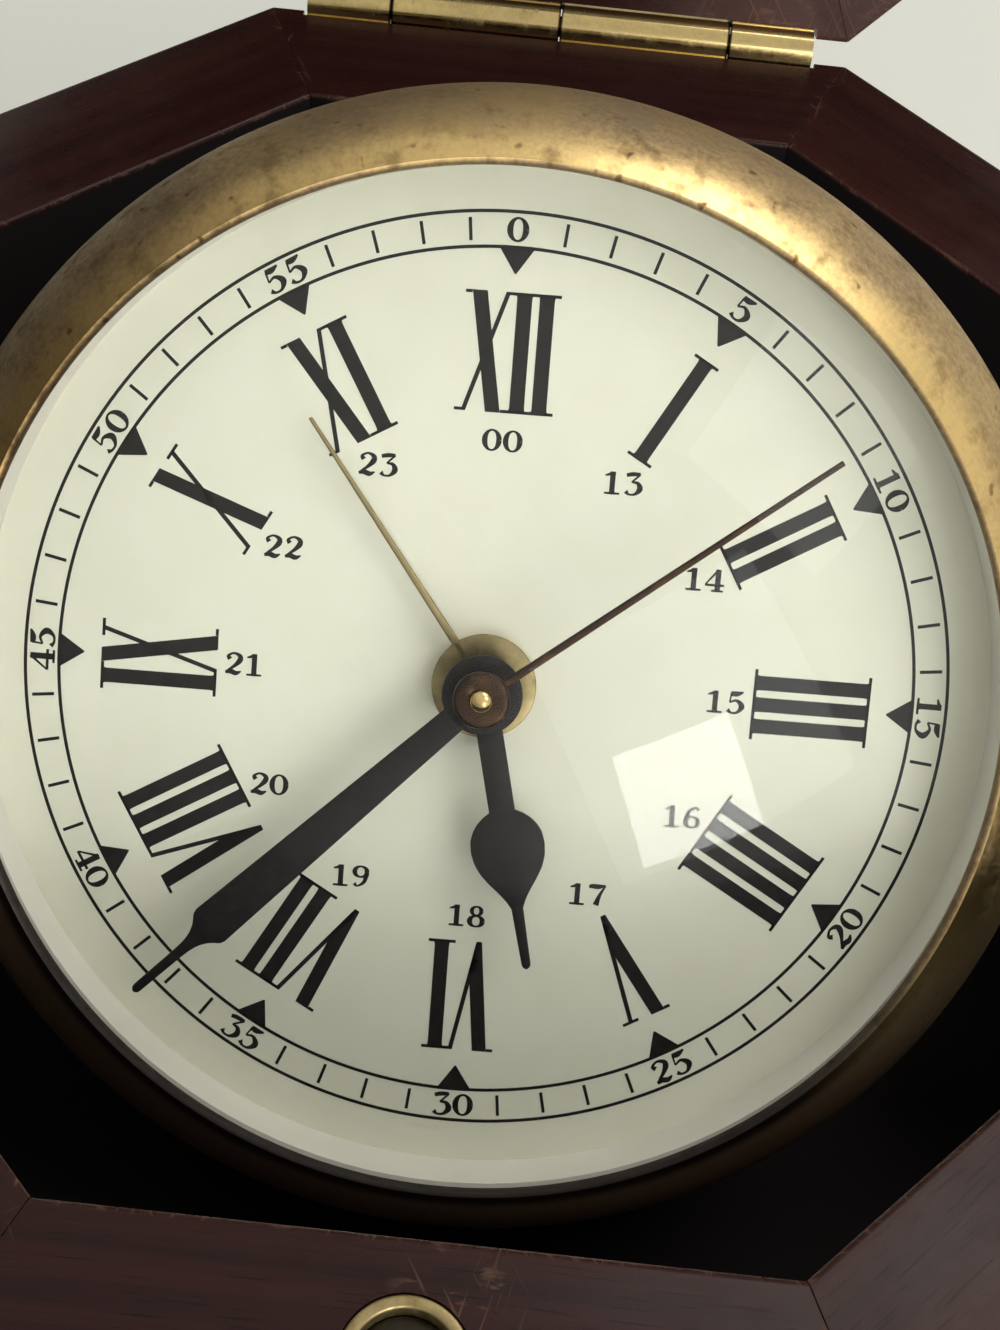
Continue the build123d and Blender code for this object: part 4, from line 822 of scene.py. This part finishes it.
def ribbon(path, width, across=None):
    """A flat line of ink: its path's left and right edges stand half a width off it, square to its way or
    across a way that is given, on the dial from just under the paint to the top of the ink. Both ends
    close to a point."""
    path = np.asarray(path, float)
    spread = np.broadcast_to(np.asarray(width, float), len(path))[:, None] / 2
    way = np.gradient(path, axis=0)
    way /= np.maximum(np.linalg.norm(way, axis=1), 1e-12)[:, None]
    off = spread * (np.stack((-way[:, 1], way[:, 0]), -1) if across is None else -across)
    side = np.array((1.0, -1.0, -1.0, 1.0, 1.0))[None, :, None]
    rows = path[:, None] + side * off[:, None]
    level = np.array((ink_top, ink_top, ink_root, ink_root, ink_top)) + 0 * rows[..., 0]
    rows = np.concatenate((path[:1, None] + 0 * rows[:1], rows, path[-1:, None] + 0 * rows[:1]))
    middle = np.full((1, 5), (ink_top + ink_root) / 2)
    level = np.concatenate((middle, level, middle))
    return in_place(rows[..., 0], rows[..., 1], level, face_setting), rows, 0.0


def clock_frame(angle, radius):
    """A place on the dial at an angle clockwise from twelve, with the ways to the right of it and
    outwards."""
    a = np.radians(angle)
    out, right = np.array((np.sin(a), np.cos(a))), np.array((np.cos(a), -np.sin(a)))
    return radius * out, right, out


for radius in ring_radii:
    inside, outside = radius - ring_line / 2, radius + ring_line / 2
    corners = [(inside, ink_root), (outside, ink_root), (outside, ink_top), (inside, ink_top)]
    printing.append(lathe(corners + corners[:1], face_setting, 240))
for minute in range(60):
    _, _, out = clock_frame(minute * 6.0, 1.0)
    if minute % 5:
        printing.append(ribbon(np.outer(tick_ends, out), tick_width))
    else:
        printing.append(ribbon(np.outer((triangle_tip, ring_radii[0]), out), triangle_widths))

# Roman hours: heavy serifed figures with their tops outwards. Strokes stand parallel within a figure and
# are cut square to it, and thin serifs join them from stroke to stroke.
hour_foot = 24.0 * mm
hour_height = 10.4 * mm
thick, thin = 1.30 * mm, 0.40 * mm
stroke_gap = 0.66 * mm
letter_gap = 0.56 * mm
serif_overhang = 0.58 * mm
serif_thickness = 0.27 * mm
bracket = 0.42 * mm
bracket_reach = 0.13 * mm
v_width, x_width = 3.55 * mm, 3.35 * mm
v_lean, apex_width = 1.12 * mm, 0.5 * mm
x_lean, x_thin_foot = 1.82 * mm, -0.33 * mm


def letter_strokes(letter, up):
    """The strokes of one letter, each its left and right edge at the heights up, and the letter's width.
    An upright I swells by a bracket at each end; the heavy strokes of V and X lean to the right as they
    go down."""
    down = 1 - up / hour_height
    if letter == "I":
        near = np.minimum(up, hour_height - up)
        swell = bracket * np.exp(-near / bracket_reach)
        return [(-swell, thick + swell)], thick
    if letter == "V":
        thin_right = v_width - down * (v_width - v_lean - apex_width)
        heavy_left = down * v_lean
        heavy = (heavy_left, np.minimum(heavy_left + thick, thin_right))
        return [heavy, (thin_right - thin, thin_right)], v_width
    heavy_left = down * x_lean
    thin_left = x_width - thin - down * (x_width - thin - x_thin_foot)
    return [(heavy_left, heavy_left + thick), (thin_left, thin_left + thin)], x_width


def serif_lines(figure, starts):
    """Thin lines along the top and the foot of a figure, as pairs of ends with a height: they join
    neighbouring strokes and stand out past the first and the last of them."""
    top, foot = hour_height - serif_thickness / 2, serif_thickness / 2
    lines = []
    for place, (letter, start) in enumerate(zip(figure, starts)):
        before, after = figure[place - 1: place], figure[place + 1: place + 2]
        if letter == "I":
            end = start + thick
            lines += [(start - bracket, end + bracket, level) for level in (top, foot)]
            if not before:
                lines += [(start - serif_overhang, start, level) for level in (top, foot)]
            if not after:
                lines += [(end, end + serif_overhang, level) for level in (top, foot)]
            if before == "V":
                lines.append((start - serif_overhang, start, foot))
            if after == "X":
                lines.append((end, starts[place + 1], top))
                lines.append((end, starts[place + 1] + x_thin_foot, foot))
        else:
            if not before:
                lines.append((start - serif_overhang, start, top))
            thin_top = start + (v_width if letter == "V" else x_width)
            lines.append((thin_top - thin, starts[place + 1] if after else thin_top + serif_overhang, top))
            if not after:
                lines.append((thin_top - thin - serif_overhang, thin_top, top))
            if letter == "X":
                foot_left, heavy_right = start + x_thin_foot, start + x_lean + thick
                lines.append((foot_left - serif_overhang, foot_left + thin, foot))
                serif_end = starts[place + 1] if after else heavy_right + serif_overhang
                lines.append((heavy_right, serif_end, foot))
    return lines


def roman(figure, angle):
    """The ribbons of one hour, with its letters set side by side and centred on the hour's angle."""
    up = hour_height * (1 - np.cos(np.linspace(0, np.pi, 25))) / 2
    strokes, starts, cursor = [], [], 0.0
    for letter, after in zip(figure, figure[1:] + " "):
        edges, width = letter_strokes(letter, up)
        strokes += [(left + cursor, right + cursor) for left, right in edges]
        starts.append(cursor)
        cursor += width + (0.0 if after == " " else stroke_gap if letter == after else letter_gap)
    origin, right_way, out = clock_frame(angle, hour_foot)
    sheets = []
    for left, right in strokes:
        path = origin + ((left + right) / 2 - cursor / 2)[:, None] * right_way + up[:, None] * out
        sheets.append(ribbon(path, right - left, right_way))
    for left, right, level in serif_lines(figure, starts):
        ends = np.array((left, right))[:, None] - cursor / 2
        sheets.append(ribbon(origin + ends * right_way + level * out, serif_thickness))
    return sheets


for hour, figure in enumerate(("XII", "I", "II", "III", "IIII", "V", "VI", "VII", "VIII", "IX", "X", "XI")):
    printing += roman(figure, hour * 30.0)

# Small numbers: old style figures drawn with a broad pen, in hundredths of a box as high as the
# figure. Each stroke is points of x, y and the pen's width, or a round of six: its middle, its two radii
# and the pen's widths at its sides and its ends.
figure_strokes = {
    "0": ((36, 50, 26, 43, 20, 7),),
    "1": (
        ((38, 3, 20), (38, 50, 19), (38, 97, 20)), ((38, 93, 10), (24, 84, 10), (10, 80, 5)),
        ((10, 4, 7), (38, 4, 9), (66, 4, 7)),
    ),
    "2": (
        ((24, 68, 18), (17, 82, 11), (38, 95, 8), (60, 83, 16), (60, 64, 20), (42, 40, 13), (20, 20, 8),
         (10, 8, 6)),
        ((8, 9, 10), (27, 14, 18), (47, 7, 17), (66, 16, 5)),
    ),
    "3": (
        ((12, 86, 13), (34, 92, 15), (62, 93, 12)), ((62, 93, 7), (46, 74, 7), (32, 58, 6)),
        ((32, 58, 6), (54, 54, 13), (63, 30, 21), (46, 7, 10), (24, 5, 8), (12, 17, 17)),
    ),
    "4": (
        ((50, 97, 9), (28, 64, 7), (5, 30, 6)), ((4, 29, 9), (40, 29, 9), (74, 29, 9)),
        ((50, 3, 20), (50, 50, 20), (50, 97, 20)), ((28, 4, 7), (50, 4, 8), (72, 4, 7)),
    ),
    "5": (
        ((20, 92, 7), (18, 70, 6), (16, 50, 6)), ((18, 90, 16), (40, 89, 19), (64, 98, 6)),
        ((16, 50, 6), (40, 60, 10), (61, 36, 21), (46, 8, 10), (24, 5, 8), (10, 17, 16)),
    ),
    "6": (((60, 84, 15), (48, 95, 7), (24, 76, 13), (14, 36, 19)), (37, 29, 23, 24, 18, 7)),
    "7": (
        ((8, 80, 8), (13, 89, 16), (40, 89, 18), (66, 95, 6)), ((66, 95, 6), (46, 50, 13), (34, 4, 22)),
    ),
    "8": ((36, 74, 18, 20, 16, 7), (36, 27, 24, 24, 20, 7)),
    "9": (((14, 16, 15), (26, 5, 7), (50, 24, 13), (60, 64, 19)), (37, 71, 23, 24, 18, 7)),
}
figure_step = 0.76
figure_spread = 1.18
pen_weight = 1.2
minute_number = 2.25 * mm
minute_circle = 39.7 * mm
late_number = 2.05 * mm
late_circle = 21.6 * mm


def flowing(points, steps=7):
    """A smooth line through points: between two neighbours it is the Catmull-Rom cubic of them and the
    points beside them."""
    row = np.vstack((2 * points[:1] - points[1:2], points, 2 * points[-1:] - points[-2:-1]))
    t = np.linspace(0.0, 1.0, steps, endpoint=False)[None, :, None]
    a, b, c, d = (row[k: len(row) - 3 + k][:, None] for k in range(4))
    square, cube = 2 * a - 5 * b + 4 * c - d, 3 * b - a - 3 * c + d
    curve = 0.5 * (2 * b + (c - a) * t + square * t ** 2 + cube * t ** 3)
    return np.vstack((curve.reshape(-1, points.shape[1]), points[-1:]))


def pen_round(x, y, wide, high, side, end, steps=28):
    """A closed pen stroke round an ellipse, as wide as side at its sides and as end at its top and
    foot."""
    a = np.linspace(0.0, 2 * np.pi, steps + 1)
    return np.stack((x + wide * np.cos(a), y + high * np.sin(a), end + (side - end) * np.cos(a) ** 2), -1)


def number(text, middle, right, up, height):
    """The ribbons of a number centred on a place of the dial, written along right with its top towards
    up."""
    sheets = []
    for place, digit in enumerate(text):
        start = (place - len(text) / 2) * figure_step
        for points in figure_strokes[digit]:
            points = np.array(points) / 100
            stroke = pen_round(*points) if points.ndim == 1 else flowing(points)
            across = (stroke[:, :1] + start) * height * figure_spread
            along = (stroke[:, 1:2] - 0.5) * height
            sheets.append(ribbon(middle + across * right + along * up, stroke[:, 2] * height * pen_weight))
    return sheets


for minute in range(0, 60, 5):
    middle, right, out = clock_frame(minute * 6.0, minute_circle)
    flip = -1.0 if 15 < minute < 45 else 1.0
    printing += number(str(minute), middle, flip * right, flip * out, minute_number)
for hour in range(12):
    middle, _, _ = clock_frame(hour * 30.0, late_circle)
    text = "00" if hour == 0 else str(hour + 12)
    printing += number(text, middle, np.array((1.0, 0.0)), np.array((0.0, 1.0)), late_number)
piece("dial_printing", printing, dial_ink, "clock", "hand_black")

# Hands. Stamped from thin sheet with rounded edges: the hour and minute hands are black, with a spade and
# a shouldered blade; the second hand is brown bronze and the alarm hand gilt. Each sits on its own tube.
hand_thickness = 0.45 * mm
hand_edge = 0.13 * mm
hub_easing = 0.16 * mm
tip_steps = np.array((0.25, 0.1, 0.02)) * mm
alarm_level, hour_level, minute_level, second_level = 1.4 * mm, 3.8 * mm, 6.1 * mm, 8.2 * mm
alarm_length, hour_length, minute_length, second_length = 27.97 * mm, 25.49 * mm, 40.81 * mm, 36.19 * mm
alarm_angle, hour_angle, minute_angle, second_angle = 323.1, 166.9, 224.9, 52.0
boss_bore, boss_radius = 0.85 * mm, 2.45 * mm
boss_top = second_level + 1.2 * mm
cap_radius = 1.0 * mm
cap_height = 0.8 * mm
cap_wall = 0.15 * mm
hand_black = paint("hand black", (0.009, 0.008, 0.008), (0.018, 0.016, 0.015), (0.40, 0.55), 900.0, 0.12)
hand_bronze, *_ = brass("hand bronze", (0.042, 0.025, 0.017), (0.022, 0.013, 0.009), 0.5, 0.4, 0.25)
hand_gilt, *_ = brass("hand gilt", (0.34, 0.275, 0.135), (0.17, 0.135, 0.07), 0.5, 0.4, 0.22)


def blade(height, angle, along, width):
    """A hand's blade: a rounded plate section, as wide as its width at each station, carried along the
    hand and closed to a point at its root and its tip."""
    along, width = along[:, None], width[:, None]
    edge = np.minimum(hand_edge, 0.42 * width)
    t = np.radians(np.linspace(0.0, 90.0, 5))
    over = np.concatenate((np.cos(t), -np.cos(t[::-1])))[None, :]
    lift = np.concatenate((np.sin(t), np.sin(t[::-1])))[None, :]
    top_x = np.sign(over) * (width / 2 - edge) + over * edge
    top_x[:, [4, 5]] = np.concatenate((width / 2 - edge, edge - width / 2), 1)
    top_z = hand_thickness - edge + lift * edge
    x = np.concatenate((top_x, -width / 2, width / 2, top_x[:, :1]), 1)
    z = np.concatenate((top_z, 0 * width, 0 * width, top_z[:, :1]), 1)
    x = np.vstack((0 * x[:1], x, 0 * x[:1]))
    z = np.vstack((0 * z[:1] + hand_thickness / 2, z, 0 * z[:1] + hand_thickness / 2))
    y = np.vstack((along[:1], along, along[-1:])) + 0 * x
    origin, x_way, y_way, z_way = turned_setting(face_setting, -angle)
    grid = in_place(x, y, z, (origin + height * z_way, x_way, y_way, z_way))
    return grid, np.stack((x, y), -1), 0.0


def hand(name, level, angle, along, width, bore, hub_radius, *marks):
    """A hand of one sheet: its blade and, on its tube, a flat ring with eased edges."""
    hub = flat_ring(bore, hub_radius, level, level + hand_thickness, hub_easing, 4)
    piece(name, [blade(level, angle, along, width), lathe(hub, face_setting, 64)], *marks)


alarm_run = np.linspace(3.2 * mm, alarm_length, 12)
alarm_width = np.interp(alarm_run, (0.0, alarm_length), (0.8 * mm, 0.3 * mm))
hand(
    "alarm_pointer", alarm_level, alarm_angle, alarm_run, alarm_width, 2.7 * mm, 4.65 * mm,
    hand_gilt, "alarm", "hand_gilt", "alarm_hand",
)
hour_run = np.concatenate((
    np.linspace(2.4 * mm, 0.43 * hour_length, 6), np.linspace(0.435, 0.78, 34) * hour_length,
    np.linspace(0.80, 1.0, 8) * hour_length - np.linspace(0.0, 0.4, 8) * mm, hour_length - tip_steps,
))
hour_width = np.interp(
    hour_run / hour_length,
    (0.0, 0.43, 0.445, 0.465, 0.49, 0.52, 0.56, 0.60, 0.64, 0.68, 0.72, 0.75, 0.78, 0.984, 0.99, 0.996, 1.0),
    np.array((2.3, 2.3, 3.6, 4.8, 5.75, 6.4, 6.6, 6.35, 5.6, 4.3, 2.75, 1.75, 1.05, 0.8, 0.72, 0.5, 0.1))
    * mm,
)
hand(
    "hour_pointer", hour_level, hour_angle, hour_run, hour_width, 2.15 * mm, 3.2 * mm,
    hand_black, "hours", "hand_black", "hour_hand",
)
minute_run = np.concatenate((
    np.linspace(2.0 * mm, 0.77 * minute_length, 14), np.linspace(0.775, 0.87, 24) * minute_length,
    np.linspace(0.88, 0.99, 8) * minute_length, minute_length - tip_steps,
))
minute_width = np.interp(
    minute_run / minute_length,
    (0.0, 0.775, 0.785, 0.795, 0.805, 0.82, 0.835, 0.85, 0.87, 0.99, 0.994, 0.9975, 1.0),
    np.array((2.2, 3.8, 3.55, 2.75, 2.1, 1.5, 1.15, 0.98, 0.9, 0.8, 0.72, 0.5, 0.1)) * mm,
)
hand(
    "minute_pointer", minute_level, minute_angle, minute_run, minute_width, 1.6 * mm, 3.5 * mm,
    hand_black, "minutes", "hand_black", "minute_hand",
)
second_run = np.linspace(1.4 * mm, second_length, 12)
second_width = np.interp(second_run, (0.0, second_length), (0.7 * mm, 0.45 * mm))
second_blade = blade(second_level, second_angle, second_run, second_width)
boss_easings = (0.05 * mm, 0.15 * mm, 0.45 * mm, 0.05 * mm)
boss = lathe(flat_ring(boss_bore, boss_radius, second_level, boss_top, boss_easings, 6), face_setting, 64)
piece("second_pointer", [second_blade, boss], hand_bronze, "seconds", "hand_bronze", "second_hand")
cap_angle = np.radians(np.linspace(0.0, 90.0, 9))
cap_curve = np.stack(
    (cap_radius * np.cos(cap_angle), boss_top + cap_wall + (cap_height - cap_wall) * np.sin(cap_angle)), -1
)
cap_curve[-1, 0] = 0.0
cap_sheet = lathe(np.vstack((((0.0, boss_top), (cap_radius, boss_top)), cap_curve)), face_setting, 48)
piece("centre_pin", [cap_sheet], polished_brass, "seconds", "polished_brass", "centre_cap")

# Tubes and wheels of the movement. The hands' tubes are turned brass, the wheels nylon or steel and the
# shells moulded. The drum closes them in.
movement_plastic = moulding("movement shell", (0.015, 0.015, 0.016), (0.028, 0.028, 0.029), (0.4, 0.55))
board_green = moulding("board lacquer", (0.012, 0.075, 0.035), (0.02, 0.11, 0.05), (0.3, 0.4), 700.0)
battery_skin = moulding("battery sleeve", (0.02, 0.05, 0.11), (0.03, 0.07, 0.15), (0.25, 0.35), 500.0)
copper = grained(
    "enamelled copper", (0.32, 0.11, 0.045), (0.62, 0.26, 0.12), ((9000.0, 400.0, 400.0), 2.0), (0.25, 0.4),
    metallic=1.0,
)
dress(polished_brass, "alarm_wheel", "hour_wheel", "cannon_pinion", "battery_contacts")
dress(nylon, "minute_wheel", "third_wheel", "centre_wheel", "intermediate_wheel", "alarm_arbor")
dress(movement_plastic, "movement_front", "movement_back", "middle_plate", "buzzer")
dress(drawn_steel, "second_wheel", "rotor", "stator", "coil_core", "quartz_can", "back_cover_screws")
dress(copper, "coil_winding")
dress(board_green, "circuit_board")
dress(battery_skin, "battery")

# Back of the clock. A black moulded cover closes the drum behind, with a ridged setting knob for the time
# and one for the alarm, a sliding switch and a door over the battery.
cover_plastic = moulding(
    "cover plastic", (0.014, 0.014, 0.015), (0.022, 0.022, 0.023), (0.38, 0.58), 1800.0, 0.5
)
dress(cover_plastic, "back_cover", "time_knob", "alarm_knob", "alarm_switch", "battery_door")

# Floor. A pale table top that runs out of sight, with a soft uneven tone. To the eye it glows faintly, a
# painted light that is a little stronger far off than close by.
floor_reach = 6.0
near_glow, far_glow = 0.34, 0.45
glow_starts, glow_ends = 0.40, 1.6
glow_colour = (0.88, 0.885, 0.80)


def seen_directly(tree):
    """One for rays from the eye, off a gloss or through the glass, and zero for those of soft light."""
    kinds = put(tree, "ShaderNodeLightPath").outputs
    seen = reckon("ADD", kinds["Is Camera Ray"], kinds["Is Glossy Ray"])
    return reckon("ADD", seen, kinds["Is Transmission Ray"])


floor_mesh = bpy.data.meshes.new("table")
floor_corners = [(x * floor_reach, y * floor_reach, 0) for x, y in ((-1, -1), (1, -1), (1, 1), (-1, 1))]
floor_mesh.from_pydata(floor_corners, [], [(0, 1, 2, 3)])
table = linked("table", floor_mesh)
table_white = grained("table white", (0.86, 0.865, 0.78), (0.90, 0.90, 0.82), (3.0, 3.0), roughness=0.6)
table_tree = table_white.node_tree
off_middle = put(table_tree, "ShaderNodeVectorMath", {0: object_place(table_tree)}, operation="LENGTH")
glow = remap(off_middle.outputs["Value"], glow_starts, glow_ends, near_glow, far_glow)
feed(table_tree.nodes["Principled BSDF"].inputs, {
    "Emission Strength": reckon("MULTIPLY", seen_directly(table_tree), glow),
    "Emission Color": glow_colour,
})
floor_mesh.materials.append(table_white)

# Light. A pale surround, dimmer on the left, that lights softly and shows in metal and glass; a large
# soft lamp above and behind on the right; a small one close above on the right; and in front on the right
# a window with one bright pane, which show only as reflections.
surround_bright = (0.74, 0.74, 0.675)
surround_dim = (0.23, 0.23, 0.205)
soft_strength = 0.32
brighter_way = (0.62, 0.25, 0.74)
clock_middle = (0.0, -0.02, 0.07)
world = bpy.data.worlds.new("studio")
bpy.context.scene.world = world
world.use_nodes = True
sky = world.node_tree
sky.nodes.clear()
direction = {0: put(sky, "ShaderNodeTexCoord").outputs["Generated"], 1: brighter_way}
towards = put(sky, "ShaderNodeVectorMath", direction, operation="DOT_PRODUCT").outputs["Value"]
tone = blend_colours(remap(towards, -0.55, 0.45), surround_dim, surround_bright)
lit = put(sky, "ShaderNodeBackground", {"Color": tone, "Strength": soft_strength})
shown = put(sky, "ShaderNodeBackground", {"Color": tone, "Strength": 1.0})
either = put(sky, "ShaderNodeMixShader", {0: seen_directly(sky), 1: lit.outputs[0], 2: shown.outputs[0]})
put(sky, "ShaderNodeOutputWorld", {"Surface": either.outputs[0]})


def stand(name, data, place, x, y, z):
    """A lamp or a camera that stands at a place, with its own axes along three directions."""
    thing = linked(name, data)
    thing.matrix_world = Matrix(np.vstack((np.stack((x, y, z, place), 1), (0, 0, 0, 1))).tolist())
    return thing


def lamp(name, place, aim, size, radiance, colour, lean=0.0):
    """A square soft lamp that faces a point, leaning by an angle. Its power is pi times its area times
    the radiance of its face."""
    light = bpy.data.lights.new(name, "AREA")
    light.shape = "SQUARE"
    light.size = size
    light.energy = np.pi * size ** 2 * radiance
    light.color = colour
    z = np.array(place) - np.array(aim)
    z /= np.linalg.norm(z)
    x = np.cross((0.0, 0.0, 1.0), z)
    x /= np.linalg.norm(x)
    _, x, y, _ = turned_setting((place, x, np.cross(z, x), z), lean)
    return stand(name, light, place, x, y, z)


lamp("overhead", (0.32, 0.31, 0.77), (0.0, 0.0, 0.08), 0.40, 3.3, (1.0, 0.98, 0.94))
window = lamp("window", (0.42, -0.76, 0.54), clock_middle, 0.54, 3.6, (0.96, 0.98, 1.0), 14.0)
pane = lamp("pane", (0.425, -0.842, 0.42), clock_middle, 0.26, 22.0, (1.0, 0.99, 0.95), 9.0)
for reflected in (window, pane):
    reflected.visible_diffuse = False
    reflected.visible_transmission = False
near = lamp("near", (0.15, -0.06, 0.26), (0.0, -0.01, 0.07), 0.10, 3.6, (1.0, 0.99, 0.96))
near.visible_glossy = False

# Camera. It stands in front of the box and looks down on the tilted dial. Its turn is an axis times an
# angle.
camera_place = (2.08 * mm, -116.9 * mm, 199.0 * mm)
camera_turn = (2.459, 0.133, 0.04)
turn_angle = np.linalg.norm(camera_turn)
right, down, ahead = np.array(Matrix.Rotation(turn_angle, 3, camera_turn))
camera = bpy.data.cameras.new("camera")
camera.sensor_fit = "VERTICAL"
camera.sensor_height = 36.0
camera.lens = 51.22
camera.clip_start = 0.005
bpy.context.scene.camera = stand("camera", camera, camera_place, right, -down, -ahead)
bpy.context.scene.view_settings.view_transform = "Standard"
